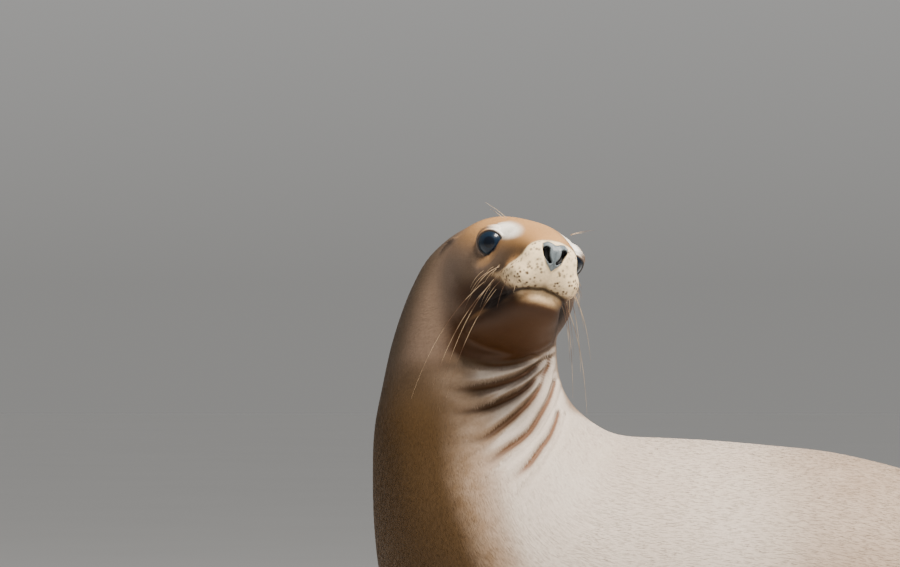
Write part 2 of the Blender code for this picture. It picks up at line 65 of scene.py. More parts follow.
# Back point x, z; front or belly point x, z; half width; sideways shift; fullness below.
TORSO_RINGS = (
    (-0.004, 0.604, -0.084, 0.608, 0.046, 0.018, 0.00),
    (0.020, 0.582, -0.1170, 0.594, 0.070, 0.022, 0.00),
    (0.030, 0.550, -0.131, 0.565, 0.084, 0.018, 0.00),
    (0.033, 0.520, -0.145, 0.520, 0.091, 0.012, 0.00),
    (0.034, 0.498, -0.153, 0.480, 0.097, 0.008, 0.00),
    (0.040, 0.478, -0.161, 0.440, 0.106, 0.004, 0.02),
    (0.052, 0.460, -0.1625, 0.385, 0.119, 0.002, 0.04),
    (0.066, 0.448, -0.160, 0.320, 0.134, 0.000, 0.06),
    (0.082, 0.4375, -0.146, 0.240, 0.147, 0.000, 0.08),
    (0.097, 0.4305, -0.108, 0.165, 0.156, 0.000, 0.08),
    (0.130, 0.4290, -0.035, 0.112, 0.162, 0.000, 0.08),
    (0.180, 0.4270, 0.070, 0.088, 0.166, 0.000, 0.07),
    (0.250, 0.4220, 0.190, 0.074, 0.168, -0.002, 0.06),
    (0.330, 0.4130, 0.290, 0.060, 0.169, -0.006, 0.05),
    (0.420, 0.3900, 0.375, 0.040, 0.170, -0.012, 0.05),
    (0.510, 0.3540, 0.455, 0.014, 0.168, -0.020, 0.06),
    (0.600, 0.3060, 0.535, -0.004, 0.162, -0.028, 0.07),
    (0.685, 0.2530, 0.615, -0.007, 0.149, -0.036, 0.08),
    (0.760, 0.2060, 0.692, -0.006, 0.135, -0.043, 0.06),
    (0.825, 0.1650, 0.765, -0.002, 0.116, -0.048, 0.04),
    (0.868, 0.1310, 0.825, 0.008, 0.088, -0.052, 0.00),
    (0.894, 0.1020, 0.868, 0.026, 0.052, -0.055, 0.00),
    (0.914, 0.0810, 0.894, 0.037, 0.028, -0.057, 0.00),
    (0.940, 0.0680, 0.925, 0.038, 0.018, -0.059, 0.00),
    (0.968, 0.0560, 0.956, 0.036, 0.012, -0.061, 0.00),
)
TAIL_TIP = (0.980, -0.062, 0.044)
NECK_TIP = (-0.043, 0.014, 0.616)

# Forward, crown height, underside height, half width, squareness, sideways shift.
HEAD_RINGS = (
    (-0.145, 0.010, -0.060, 0.040, 2.0, -0.010),
    (-0.135, 0.026, -0.078, 0.054, 2.0, -0.009),
    (-0.118, 0.037, -0.094, 0.0630, 2.1, -0.006),
    (-0.095, 0.0440, -0.100, 0.0685, 2.3, -0.002),
    (-0.070, 0.0460, -0.100, 0.0700, 2.4, 0),
    (-0.045, 0.0435, -0.098, 0.0690, 2.5, 0),
    (-0.020, 0.0385, -0.092, 0.0645, 2.4, 0),
    (0.000, 0.0335, -0.084, 0.0570, 2.4, 0),
    (0.010, 0.0305, -0.079, 0.0530, 2.4, 0),
    (0.025, 0.0260, -0.072, 0.0465, 2.4, 0),
    (0.045, 0.0195, -0.065, 0.0400, 2.4, 0),
    (0.062, 0.0135, -0.059, 0.0355, 2.4, 0),
    (0.078, 0.0075, -0.053, 0.0315, 2.3, 0),
    (0.090, 0.0000, -0.046, 0.0290, 2.3, 0),
    (0.098, -0.006, -0.034, 0.0160, 2.2, 0),
)
NOSE_TIP = (0.1005, 0.0, -0.018)
NAPE_TIP = (-0.153, -0.010, -0.022)
JAW_RINGS = (
    (-0.045, -0.075, -0.106, 0.046, 2.0, 0),
    (-0.020, -0.070, -0.106, 0.050, 2.1, 0),
    (0.000, -0.065, -0.103, 0.047, 2.2, 0),
    (0.022, -0.060, -0.098, 0.041, 2.3, 0),
    (0.042, -0.054, -0.093, 0.0345, 2.3, 0),
    (0.060, -0.052, -0.088, 0.0295, 2.3, 0),
    (0.072, -0.054, -0.082, 0.0235, 2.2, 0),
    (0.079, -0.059, -0.075, 0.0150, 2.0, 0),
)
CHIN_TIP = (0.0825, 0.0, -0.0670)
JAW_HINGE_TIP = (-0.055, 0.0, -0.090)

# Rounded masses: centre, then half sizes. Those of the head are on both sides of it.
HEAD_MASSES = (
    ((0.062, 0.0225, -0.0405), (0.030, 0.0205, 0.0190)),
    ((-0.004, 0.0320, 0.0085), (0.024, 0.0180, 0.0175)),
)
NOSE_MASS = ((0.0935, 0.0, -0.0185), (0.0082, 0.0135, 0.0150))
NAPE = ((-0.051, 0.106, 0.583), (0.068, 0.066, 0.057))
BODY_MASSES = (
    ((0.060, 0.118, 0.230), (0.105, 0.050, 0.125)),
    ((0.745, 0.088, 0.088), (0.115, 0.052, 0.072)),
)

# x, distance from the middle plane, z, half chord, half thickness, tilt of the flat side.
FORE_FLIPPER = (
    (0.024, 0.085, 0.225, 0.078, 0.050, 80),
    (0.032, 0.140, 0.170, 0.070, 0.043, 75),
    (0.037, 0.185, 0.108, 0.058, 0.033, 65),
    (0.042, 0.216, 0.052, 0.056, 0.024, 48),
    (0.060, 0.250, 0.018, 0.063, 0.018, 15),
    (0.095, 0.305, 0.006, 0.066, 0.0135, 0),
    (0.140, 0.365, 0.0042, 0.058, 0.0100, 0),
    (0.185, 0.425, 0.0034, 0.041, 0.0080, 0),
    (0.213, 0.465, 0.0028, 0.023, 0.0060, 0),
)
FORE_TIP = (0.227, 0.485, 0.002)
HIND_FOOT = (
    (0.790, 0.050, 0.080, 0.046, 0.036, 70),
    (0.836, 0.095, 0.056, 0.040, 0.031, 60),
    (0.846, 0.132, 0.032, 0.037, 0.027, 30),
    (0.818, 0.162, 0.016, 0.039, 0.020, 5),
    (0.775, 0.184, 0.008, 0.044, 0.0135, 0),
    (0.720, 0.208, 0.005, 0.051, 0.0085, 0),
    (0.665, 0.232, 0.0035, 0.057, 0.0065, 0),
    (0.636, 0.245, 0.0028, 0.059, 0.0055, 0),
    (0.618, 0.253, 0.0022, 0.056, 0.0045, 0),
)
HIND_WEB_TIP = (0.606, 0.258, 0.0015)
TOE_ROOT = (0.805, 0.168, 0.010)
TOE_AIM = math.radians(24)
TOE_LENGTH = 0.232
TOE_EXTRA = 0.030
TOE_SPAN = 0.062
TOE_SPREADS = (-1, -0.5, 0, 0.5, 1)
TOE_ROOT_SPAN = 0.026
EAR_PLACE = (-0.070, 0.0640, 0.0085)
EAR_RINGS = ((0.006, -0.004, 0.002, 0.0040, 0.0034), (0.000, 0.001, 0.000, 0.0045, 0.0034),
             (-0.008, 0.005, -0.003, 0.0052, 0.0030), (-0.015, 0.008, -0.007, 0.0044, 0.0024),
             (-0.020, 0.009, -0.011, 0.0026, 0.0018))
SIDES = {1: "left", -1: "right"}
FLESH_GRID = 0.0028                   # cell size of the surface drawn over the body
FLESH_SMOOTHING = 22
HIDE_GRID = 0.0024                    # and of the one drawn over body and limbs
HIDE_SMOOTHING = 3


def box_middle(node):
    """The middle of a solid's box."""
    low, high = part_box(node)
    return (Vector(low) + Vector(high)) / 2


EYES_MIDDLE = (box_middle("eye_left") + box_middle("eye_right")) / 2
SHIFT = EYES_MIDDLE - Vector(HEAD_POINT)     # from the point that the tables count from


def head_place():
    """The head's own frame in the model's frame."""
    facing = Matrix(((math.sin(HEAD_YAW), math.cos(HEAD_YAW), 0),
                     (-math.cos(HEAD_YAW), math.sin(HEAD_YAW), 0),
                     (0, 0, 1)))
    pitch = Matrix.Rotation(-HEAD_PITCH, 3, "Y")
    roll = Matrix.Rotation(HEAD_ROLL, 3, "Y")
    return Matrix.Translation(EYES_MIDDLE) @ (roll @ facing @ pitch).to_4x4()


HEAD = head_place()
HEAD_TURN = np.array(HEAD.to_3x3())


def to_head(points):
    """Points of the model in the head's frame."""
    return (points - np.array(EYES_MIDDLE)) @ HEAD_TURN


def from_head(points):
    """Points of the head's frame in the model's."""
    return np.asarray(points) @ HEAD_TURN.T + np.array(EYES_MIDDLE)


def between_stations(rows, count):
    """Rows of a table, interpolated to count rows by a spline that passes through each."""
    rows = np.array(rows, float)
    steps = np.linalg.norm(np.diff(rows[:, :4], axis=0), axis=1) ** 0.5
    knots = np.concatenate([[0.0], np.cumsum(steps)])
    slopes = np.gradient(rows, knots, axis=0)
    at = np.linspace(0.0, knots[-1], count)
    seg = np.clip(np.searchsorted(knots, at, side="right") - 1, 0, len(knots) - 2)
    width = (knots[seg + 1] - knots[seg])[:, None]
    t = (at - knots[seg])[:, None] / width
    return ((2 * t**3 - 3 * t**2 + 1) * rows[seg] + (t**3 - 2 * t**2 + t) * width * slopes[seg]
            + (3 * t**2 - 2 * t**3) * rows[seg + 1] + (t**3 - t**2) * width * slopes[seg + 1])


def new_object(name, mesh):
    obj = bpy.data.objects.new(name, mesh)
    bpy.context.scene.collection.objects.link(obj)
    return obj


def closed_mesh(name, bm):
    """The mesh of a closed body, facing outwards."""
    bmesh.ops.recalc_face_normals(bm, faces=bm.faces)
    mesh = bpy.data.meshes.new(name)
    bm.to_mesh(mesh)
    bm.free()
    return mesh


def loft(name, rings, first, last, place):
    """A closed body through rings of equal length, with a pole at each end."""
    count = len(rings[0])
    points = np.vstack([[first], np.vstack(rings), [last]])
    end = 1 + (len(rings) - 1) * count
    faces = []
    for k in range(count):
        after = (k + 1) % count
        faces.append((0, 1 + after, 1 + k))
        faces.append((len(points) - 1, end + k, end + after))
        for r in range(len(rings) - 1):
            a, b = 1 + r * count, 1 + (r + 1) * count
            faces.append((a + k, a + after, b + after, b + k))
    mesh = bpy.data.meshes.new(name)
    mesh.from_pydata(points.tolist(), [], faces)
    bm = bmesh.new()
    bm.from_mesh(mesh)
    bmesh.ops.transform(bm, matrix=place, verts=bm.verts)
    return closed_mesh(name, bm)


def ball(centre, half_sizes, place, segments=48, rings=24):
    """An ellipsoid."""
    bm = bmesh.new()
    shape = place @ Matrix.Translation(centre) @ Matrix.Diagonal((*half_sizes, 1.0))
    bmesh.ops.create_uvsphere(bm, u_segments=segments, v_segments=rings, radius=1.0, matrix=shape)
    return closed_mesh("ball", bm)


BODY = Matrix.Translation(SHIFT)


def torso_rings(count, sides):
    """Points round the neck, trunk and tail, ring by ring."""
    turn = np.linspace(0, 2 * math.pi, sides, endpoint=False)
    made = []
    for back_x, back_z, front_x, front_z, width, shift, full in between_stations(TORSO_RINGS, count):
        back = np.array([back_x, TRUNK_Y + shift, back_z])
        front = np.array([front_x, TRUNK_Y + shift, front_z])
        along = np.cos(turn)[:, None] * (back - front) / 2
        across = np.sin(turn) * width * (1 - full * np.cos(turn))
        made.append((back + front) / 2 + along + across[:, None] * np.array([0, 1, 0]))
    return made


def head_loft(name, rows, count, sides, first, last):
    """A loft along the head's forward axis, from rows such as HEAD_RINGS."""
    turn = np.linspace(0, 2 * math.pi, sides, endpoint=False)
    made = []
    for forward, top, bottom, width, square, shift in between_stations(rows, count):
        c, s = np.cos(turn), np.sin(turn)
        up = np.sign(c) * np.abs(c) ** (2 / square) * (top - bottom) / 2 + (top + bottom) / 2
        left = np.sign(s) * np.abs(s) ** (2 / square) * width + shift
        made.append(np.stack([np.full(sides, forward), left, up], axis=1))
    return loft(name, made, first, last, HEAD)


def limb_loft(name, rows, tip, side, middle, count, sides):
    """A flattened limb on one side of a middle plane, thick along its leading edge."""
    rows = between_stations(rows, count)
    centres = np.stack([rows[:, 0], middle - side * rows[:, 1], rows[:, 2]], axis=1)
    tangents = np.gradient(centres, axis=0)
    turn = np.linspace(0, 2 * math.pi, sides, endpoint=False)
    made = []
    for row, centre, tangent in zip(rows, centres, tangents):
        tangent = tangent / np.linalg.norm(tangent)
        tilt = math.radians(row[5])
        flat = np.array([0, -side * math.sin(tilt), math.cos(tilt)])
        chord = np.cross(tangent, flat) * side
        chord = chord / np.linalg.norm(chord)
        thick = np.cross(chord, tangent) * side
        c, s = np.cos(turn), np.sin(turn)
        across = row[3] * c
        rise = row[4] * s * (1 + 0.3 * c)
        made.append(centre + across[:, None] * chord + rise[:, None] * thick)
    ends = [(x, middle - side * y, z) for x, y, z in (rows[0, :3], tip)]
    return loft(name, made, *ends, BODY)


def toe_line(side, spread):
    """A toe's root, its direction along the floor, and its length."""
    aim = np.array([-math.cos(TOE_AIM), -side * math.sin(TOE_AIM), 0])
    across = np.array([math.sin(TOE_AIM), -side * math.cos(TOE_AIM), 0])
    x, y, z = TOE_ROOT
    root = np.array([x, PELVIS_Y - side * y, z]) + across * spread * TOE_ROOT_SPAN
    length = TOE_LENGTH + TOE_EXTRA * spread * spread
    end = root + aim * length + across * spread * (TOE_SPAN - TOE_ROOT_SPAN)
    return root, (end - root) / np.linalg.norm(end - root), length


def toe(side, spread):
    """A toe and the flap of skin beyond its end, flat on the floor."""
    root, along, length = toe_line(side, spread)
    broad = np.cross((0, 0, 1), along)
    turn = np.linspace(0, 2 * math.pi, 24, endpoint=False)
    made = []
    for part, wide, thick, rise in between_stations(
            ((0.03, 0.010, 0.0110, 0.009), (0.30, 0.0120, 0.0105, 0.006),
             (0.60, 0.0125, 0.0090, 0.004), (0.78, 0.0125, 0.0075, 0.0030),
             (0.92, 0.0115, 0.0055, 0.0025), (0.98, 0.0070, 0.0040, 0.0020)), 24):
        centre = root + along * length * part
        centre[2] = rise
        wide = wide * (1 + 0.25 * spread * spread)
        made.append(centre + np.cos(turn)[:, None] * wide * broad
                    + np.sin(turn)[:, None] * thick * np.array([0, 0, 1]))
    tip = root + along * length
    tip[2] = 0.0020
    return loft("toe", made, root, tip, BODY)


def ear_leaf(side):
    """The small rolled ear, lying back and down from its root."""
    turn = np.linspace(0, 2 * math.pi, 24, endpoint=False)
    made = []
    for x, y, z, wide, thick in between_stations(EAR_RINGS, 20):
        c, s = np.cos(turn), np.sin(turn)
        bend = 0.25 * wide * (1 - c**2)
        made.append(np.stack([EAR_PLACE[0] + x + wide * c * 0.5,
                              side * (EAR_PLACE[1] + y - bend + thick * s),
                              EAR_PLACE[2] + z + wide * c * 0.87], axis=1))
    ends = [(EAR_PLACE[0] + x, side * (EAR_PLACE[1] + y), EAR_PLACE[2] + z)
            for x, y, z in ((0.008, -0.006, 0.003), (-0.0225, 0.0090, -0.0130))]
    return loft("ear", made, *ends, HEAD)


def modified(mesh, kind, **settings):
    """A mesh after one modifier."""
    obj = new_object("work", mesh)
    modifier = obj.modifiers.new(kind, kind)
    for name, value in settings.items():
        setattr(modifier, name, value)
    graph = bpy.context.evaluated_depsgraph_get()
    made = bpy.data.meshes.new_from_object(obj.evaluated_get(graph))
    bpy.data.objects.remove(obj, do_unlink=True)
    return made


def drawn_over(meshes, voxel, smoothing):
    """One closed surface over several overlapping bodies, with soft joins."""
    bm = bmesh.new()
    for mesh in meshes:
        bm.from_mesh(mesh)
    whole = bpy.data.meshes.new("whole")
    bm.to_mesh(whole)
    bm.free()
    whole = modified(whole, "REMESH", mode="VOXEL", voxel_size=voxel)
    return modified(whole, "SMOOTH", factor=0.5, iterations=smoothing)


def smooth_step(low, high, value):
    """0 below one value, 1 above the other, easing between."""
    t = np.clip((value - low) / (high - low), 0.0, 1.0)
    return t * t * (3 - 2 * t)


def bump(value, width):
    """1 at zero, falling off on both sides."""
    return np.exp(-(value / width) ** 2)


def mesh_points(mesh):
    points = np.empty(len(mesh.vertices) * 3)
    mesh.vertices.foreach_get("co", points)
    return points.reshape(-1, 3)


def set_points(mesh, points):
    mesh.vertices.foreach_set("co", points.ravel())
    mesh.update()


def mesh_normals(mesh):
    normals = np.empty(len(mesh.vertices) * 3, np.float32)
    mesh.vertex_normals.foreach_get("vector", normals)
    return normals.reshape(-1, 3).astype(float)


def mesh_edges(mesh):
    edges = np.empty(len(mesh.edges) * 2, np.int32)
    mesh.edges.foreach_get("vertices", edges)
    return edges.reshape(-1, 2)


def eased(mesh, vectors, weight, rounds):
    """A vector at each point, moved by its weight towards the mean of its neighbours'."""
    first, second = mesh_edges(mesh).T
    count = np.maximum(np.bincount(first, minlength=len(vectors))
                       + np.bincount(second, minlength=len(vectors)), 1)
    for _ in range(rounds):
        middle = np.stack([np.bincount(first, vectors[second, k], len(vectors))
                           + np.bincount(second, vectors[first, k], len(vectors))
                           for k in range(3)], axis=1) / count[:, None]
        vectors = vectors + (middle - vectors) * weight[:, None]
    return vectors


def relaxed(mesh, weight, rounds):
    """Eases the shape of a mesh, each point by its weight."""
    set_points(mesh, eased(mesh, mesh_points(mesh), weight, rounds))


torso = torso_rings(240, 96)
ends = [(x, TRUNK_Y + y, z) for x, y, z in (NECK_TIP, TAIL_TIP)]
bodies = [loft("torso", torso, *ends, BODY),
          head_loft("head", HEAD_RINGS, 110, 80, NAPE_TIP, NOSE_TIP),
          head_loft("jaw", JAW_RINGS, 60, 64, JAW_HINGE_TIP, CHIN_TIP),
          ball(*NOSE_MASS, HEAD), ball(*NAPE, BODY)]
for (x, y, z), sizes in HEAD_MASSES:
    bodies += [ball((x, side * y, z), sizes, HEAD) for side in SIDES]
for ((x, y, z), sizes), middle in zip(BODY_MASSES, (TRUNK_Y, PELVIS_Y)):
    bodies += [ball((x, middle - side * y, z), sizes, BODY) for side in SIDES]
flesh = drawn_over(bodies, FLESH_GRID, FLESH_SMOOTHING)
head = to_head(mesh_points(flesh))
nape = smooth_step(-0.190, -0.150, head[:, 0]) * smooth_step(-0.030, -0.070, head[:, 0])
relaxed(flesh, 0.5 * nape, 130)
behind_ear = bump(head[:, 0] + 0.105, 0.022) * bump(head[:, 2], 0.045) \
    * smooth_step(0.040, 0.060, np.abs(head[:, 1]))
fill = 0.0016 * nape + 0.0045 * behind_ear
set_points(flesh, mesh_points(flesh) + mesh_normals(flesh) * fill[:, None])

limbs = [flesh]
for side in SIDES:
    limbs.append(limb_loft("fore", FORE_FLIPPER, FORE_TIP, side, TRUNK_Y, 60, 48))
    limbs.append(limb_loft("hind", HIND_FOOT, HIND_WEB_TIP, side, PELVIS_Y, 50, 48))
    limbs += [toe(side, spread) for spread in TOE_SPREADS]
    limbs.append(ear_leaf(side))
hide = drawn_over(limbs, HIDE_GRID, HIDE_SMOOTHING)


# --- Hide: lids, nose, lips and folds -----------------------------------------------------
# The hide's fine shape: thick-rimmed lids that lie on the eyeballs, the bare nose pad with
# its slit nostrils, soft lips, and the folds that the turned head presses into the neck.
EYE_SPREAD = 0.0400
EYE_RADIUS = 0.0180
EYE_TURN = math.radians(34)           # the opening of the lids, outwards from straight ahead
EYE_DROP = math.radians(12)
LID_THICKNESS = 0.0013
HIDE_TRIANGLES = 196000
SQUINT = {1: 0.55, -1: 0.0}           # how far the upper lid is lowered, on each side
MOUTH_LINE = ((0.0805, 0.0000, -0.0529), (0.0790, 0.0076, -0.0538), (0.0785, 0.0157, -0.0554),
              (0.0764, 0.0217, -0.0573), (0.0708, 0.0268, -0.0593), (0.0583, 0.0300, -0.0597),
              (0.0371, 0.0312, -0.0598), (0.0245, 0.0346, -0.0625), (0.0124, 0.0390, -0.0655))
# The bottoms of the folds in the neck's left side, as x and z from under the eyes, each with
# its depth and half width. They fan out from behind the jaw's angle.
FOLDS = (
    (((-0.092, 0.523), (-0.0415, 0.5082), (-0.0121, 0.5093), (0.0163, 0.5187), (0.031, 0.529)),
     0.0040, 0.0048),
    (((-0.0940, 0.4799), (-0.0698, 0.4799), (-0.0488, 0.4830), (-0.0278, 0.4872), (-0.0068, 0.4940),
      (0.0089, 0.5040), (0.0268, 0.5177)), 0.0048, 0.0052),
    (((-0.0908, 0.4536), (-0.0698, 0.4557), (-0.0488, 0.4604), (-0.0278, 0.4678), (-0.0068, 0.4778),
      (0.0068, 0.4883), (0.0173, 0.4998), (0.0289, 0.5166)), 0.0048, 0.0046),
    (((-0.0803, 0.4211), (-0.0509, 0.4274), (-0.0383, 0.4337), (-0.0278, 0.4415), (-0.0173, 0.4494),
      (-0.0068, 0.4583), (0.0037, 0.4683), (0.0121, 0.4799), (0.0194, 0.4946), (0.0278, 0.5114)),
     0.0050, 0.0046),
    (((-0.0593, 0.3917), (-0.0383, 0.4053), (-0.0278, 0.4137), (-0.0173, 0.4211), (-0.0068, 0.4284),
      (0.0037, 0.4379), (0.0142, 0.4536), (0.0226, 0.4673), (0.0278, 0.4799), (0.0320, 0.4946)),
     0.0046, 0.0046),
    (((-0.0226, 0.3770), (-0.0068, 0.3938), (0.0037, 0.4043), (0.0142, 0.4190), (0.0226, 0.4295),
      (0.0299, 0.4442), (0.0352, 0.4610)), 0.0042, 0.0044),
    (((-0.0580, 0.4640), (-0.0400, 0.4705), (-0.0250, 0.4780), (-0.0120, 0.4850)), 0.0012, 0.0020),
)


def refined(mesh, chosen):
    """Splits the faces whose corners are all chosen, to half their size."""
    bm = bmesh.new()
    bm.from_mesh(mesh)
    edges = [edge for edge in bm.edges if chosen[edge.verts[0].index] and chosen[edge.verts[1].index]]
    bmesh.ops.subdivide_edges(bm, edges=edges, cuts=1, use_grid_fill=True)
    bm.to_mesh(mesh)
    bm.free()


def eye_frame(side):
    """An eye's middle, and its directions: out along its sight, towards the nose, and up."""
    aim = np.array([math.cos(EYE_DROP) * math.cos(EYE_TURN),
                    side * math.cos(EYE_DROP) * math.sin(EYE_TURN), -math.sin(EYE_DROP)])
    front = np.array([1.0, 0, 0]) - aim * aim[0]
    front /= np.linalg.norm(front)
    return np.array([0, side * EYE_SPREAD, 0]), aim, front, np.cross(front, aim) * side


def lid_opening(turn, side):
    """The angle from the line of sight to the lids' rim, at angles round it in degrees."""
    turn = (np.asarray(turn) + 180) % 360 - 180
    rad = np.radians(turn)
    opening = (43.5 + 2 * np.cos(2 * rad) + 4 * np.cos(rad - math.radians(215))
               + 7 * bump(turn + 12, 16) + 3 * bump(turn + 48, 42))
    return opening * (1 - SQUINT[side] * np.clip(np.sin(rad), 0, 1))


def eye_angles(head, side):
    """For points in the head's frame: distance from an eye's middle, angle beyond the lids'
    rim, angle round it (0 towards the nose, 90 up), and the outward direction."""
    centre, aim, front, above = eye_frame(side)
    out = head - centre
    far = np.linalg.norm(out, axis=1)
    out = out / far[:, None]
    away = np.degrees(np.arccos(np.clip(out @ aim, -1, 1)))
    turn = np.degrees(np.arctan2(out @ above, out @ front))
    return far, away - lid_opening(turn, side), turn, out


def sculpt_eyes(head):
    """Lays the lids on the eyeballs, opens them, and folds the skin round them."""
    for side in SIDES:
        near = np.flatnonzero((head[:, 1] * side > 0.004) & (head[:, 0] > -0.03)
                              & (np.linalg.norm(head - [0, side * EYE_SPREAD, 0], axis=1) < 0.05))
        far, beyond, turn, out = eye_angles(head[near], side)
        upper = np.clip(np.sin(np.radians(turn)), 0, 1)
        lower = np.clip(-np.sin(np.radians(turn)), 0, 1)
        lid = (EYE_RADIUS + LID_THICKNESS * smooth_step(-1.0, 3.5, beyond)
               - 0.0045 * (1 - smooth_step(-5, -1.0, beyond)))
        on_lid = 1 - smooth_step(7, np.where(far < EYE_RADIUS + LID_THICKNESS, 62, 30), beyond)
        on_lid *= 1 - smooth_step(0.026, 0.036, far)
        made = on_lid * lid + (1 - on_lid) * far
        made = np.maximum(made, np.where(beyond > 0, EYE_RADIUS + LID_THICKNESS, 0))
        made -= 0.0007 * bump(beyond - 13, 2.6) * upper
        made -= 0.0006 * bump(beyond - 12, 2.2) * lower
        made -= 0.0006 * bump(beyond - 21, 2.6) * lower
        made += 0.0010 * bump(beyond - 22, 7) * upper
        head[near] = np.array([0, side * EYE_SPREAD, 0]) + out * made[:, None]


def pad_depth(head):
    """How far inside the nose pad's outline a point is, seen from the front; negative outside."""
    left, up = np.abs(head[:, 1]), head[:, 2]
    half = np.interp(up, (-0.0365, -0.0340, -0.0300, -0.0245, -0.0180, -0.0125, -0.0070),
                     (0.0000, 0.0028, 0.0066, 0.0100, 0.0125, 0.0142, 0.0142))
    top = -0.0052 - 0.0026 * bump(left, 0.0045) - 0.0030 * smooth_step(0.009, 0.0145, left)
    return np.minimum(np.minimum(half - left, top - up), (up + 0.0365) * 0.6)


def nostril_depth(head):
    """How far inside a nostril's slit a point is, seen from the front."""
    left, up = np.abs(head[:, 1]), head[:, 2]
    start, end = np.array([0.0098, -0.0152]), np.array([0.0040, -0.0272])
    line = end - start
    at = np.clip(((left - start[0]) * line[0] + (up - start[1]) * line[1]) / (line @ line), 0, 1)
    bow = 0.0010 * np.sin(at * math.pi)
    off = np.hypot(left - start[0] - at * line[0] - bow, up - start[1] - at * line[1] + bow)
    return 0.0040 - 0.0020 * at - off


def sculpt_nose(head):
    """Raises the nose pad and sinks the nostrils into it."""
    near = np.flatnonzero((head[:, 0] > 0.080) & (np.abs(head[:, 1]) < 0.022)
                          & (head[:, 2] > -0.045) & (head[:, 2] < 0.004))
    at = head[near]
    pad, slit = pad_depth(at), nostril_depth(at)
    rise = 0.0015 * smooth_step(-0.0004, 0.0020, pad) - 0.0005 * bump(pad + 0.0007, 0.0007)
    rise += 0.0007 * bump(slit + 0.0011, 0.0009) * (pad > 0)
    rise -= 0.0010 * bump(at[:, 1], 0.0011) * smooth_step(-0.0360, -0.0320, at[:, 2]) \
        * (1 - smooth_step(-0.0200, -0.0150, at[:, 2]))
    rise -= 0.0008 * bump(at[:, 1], 0.0040) * bump(at[:, 2] + 0.0090, 0.0040)
    at[:, 0] += rise - 0.0070 * smooth_step(0.0, 0.0016, slit)
    at[:, 1] -= np.sign(at[:, 1]) * 0.0010 * smooth_step(0.0, 0.0020, slit)
    head[near] = at


def curve_through(points, count):
    """Points evenly along a smooth curve through a few."""
    rows = np.array(points, float)
    if rows.shape[1] < 4:
        rows = np.hstack([rows, np.zeros((len(rows), 4 - rows.shape[1]))])
    return between_stations(rows, count)[:, :len(points[0])]


def distance_to(points, line):
    """Each point's distance to a line of points, and the nearest one's number."""
    best = np.full(len(points), np.inf)
    number = np.zeros(len(points), int)
    for k, at in enumerate(line):
        far = ((points - at) ** 2).sum(axis=1)
        closer = far < best
        best[closer] = far[closer]
        number[closer] = k
    return np.sqrt(best), number


def laid_on(mesh, line):
    """A line's points moved to the nearest places on a surface, all in the head's frame."""
    tree = BVHTree.FromPolygons([tuple(p) for p in to_head(mesh_points(mesh))],
                                [tuple(face.vertices) for face in mesh.polygons])
    return np.array([tree.find_nearest(at)[0] for at in line])


MOUTH_CURVE = laid_on(hide, curve_through(MOUTH_LINE, 90))
CORNER = MOUTH_CURVE[-1]


def mouth_distance(head):
    """Distance from the line of the mouth, height above it, and how near its corner."""
    folded = head * [1, 0, 1] + np.abs(head) * [0, 1, 0]
    far, number = distance_to(folded, MOUTH_CURVE)
    height = head[:, 2] - MOUTH_CURVE[number, 2]
    return far, height, number / (len(MOUTH_CURVE) - 1)


def sculpt_mouth(head, normals):
    """Sinks the mouth line between two soft lips."""
    near = np.flatnonzero((head[:, 0] > -0.005) & (head[:, 2] < -0.035) & (head[:, 2] > -0.085))
    far, height, part = mouth_distance(head[near])
    fade = 1 - smooth_step(0.80, 1.0, part)
    rise = -0.0036 * bump(far, 0.0011) * fade
    rise += 0.0011 * bump(far - 0.0032, 0.0022) * (height > 0) * fade
    rise += 0.0008 * bump(far - 0.0030, 0.0020) * (height <= 0) * fade
    corner = np.linalg.norm(np.abs(head[near]) * [1, 1, 0] + head[near] * [0, 0, 1]
                            - np.array(CORNER), axis=1)
    rise -= 0.0016 * bump(corner, 0.0055)
    at = head[near]
    cleft = bump(at[:, 1], 0.0018) * smooth_step(-0.0535, -0.0500, at[:, 2]) \
        * (1 - smooth_step(-0.0385, -0.0350, at[:, 2])) * (at[:, 0] > 0.06)
    head[near] = at + normals[near] * (rise - 0.0005 * cleft)[:, None]


def fold_rise(points, normals):
    """The folds in the neck's left side, as a rise off the smooth surface."""
    flat = (points - np.array(SHIFT))[:, (0, 2)]
    facing = smooth_step(-0.15, 0.45, -normals[:, 1])
    total = np.zeros(len(points))
    for line, depth, width in FOLDS:
        far, number = distance_to(flat, curve_through(line, 60))
        part = number / 59
        fade = smooth_step(-0.05, 0.50, part) * (1 - smooth_step(0.94, 1.0, part))
        narrow = width * (1.15 - 0.65 * part)
        depth = depth * (1 - 0.40 * part)
        total -= depth * bump(far, narrow) * fade
        total += 0.48 * depth * bump(far - 2.0 * narrow, 0.9 * narrow) * fade
    return total * facing


def digit_rise(points):
    """The bones of the fore flippers' digits, as ridges fanning from each wrist."""
    total = np.zeros(len(points))
    for side in SIDES:
        wrist = np.array([0.050, TRUNK_Y - side * 0.235]) + np.array(SHIFT)[:2]
        out = points[:, :2] - wrist
        far = np.hypot(out[:, 0], out[:, 1])
        aim = math.atan2(-side * 0.250, 0.170)
        turn = np.angle(np.exp(1j * (np.arctan2(out[:, 1], out[:, 0]) - aim))) * -side
        on = (points[:, 1] - SHIFT[1] - TRUNK_Y) * -side > 0.235
        where = on * smooth_step(0.02, 0.07, far) * (1 - 0.7 * smooth_step(0.20, 0.30, far))
        total += where * 0.0016 * np.cos(turn * 17) * bump(turn, 0.42) * (points[:, 2] > 0.003)
    return total


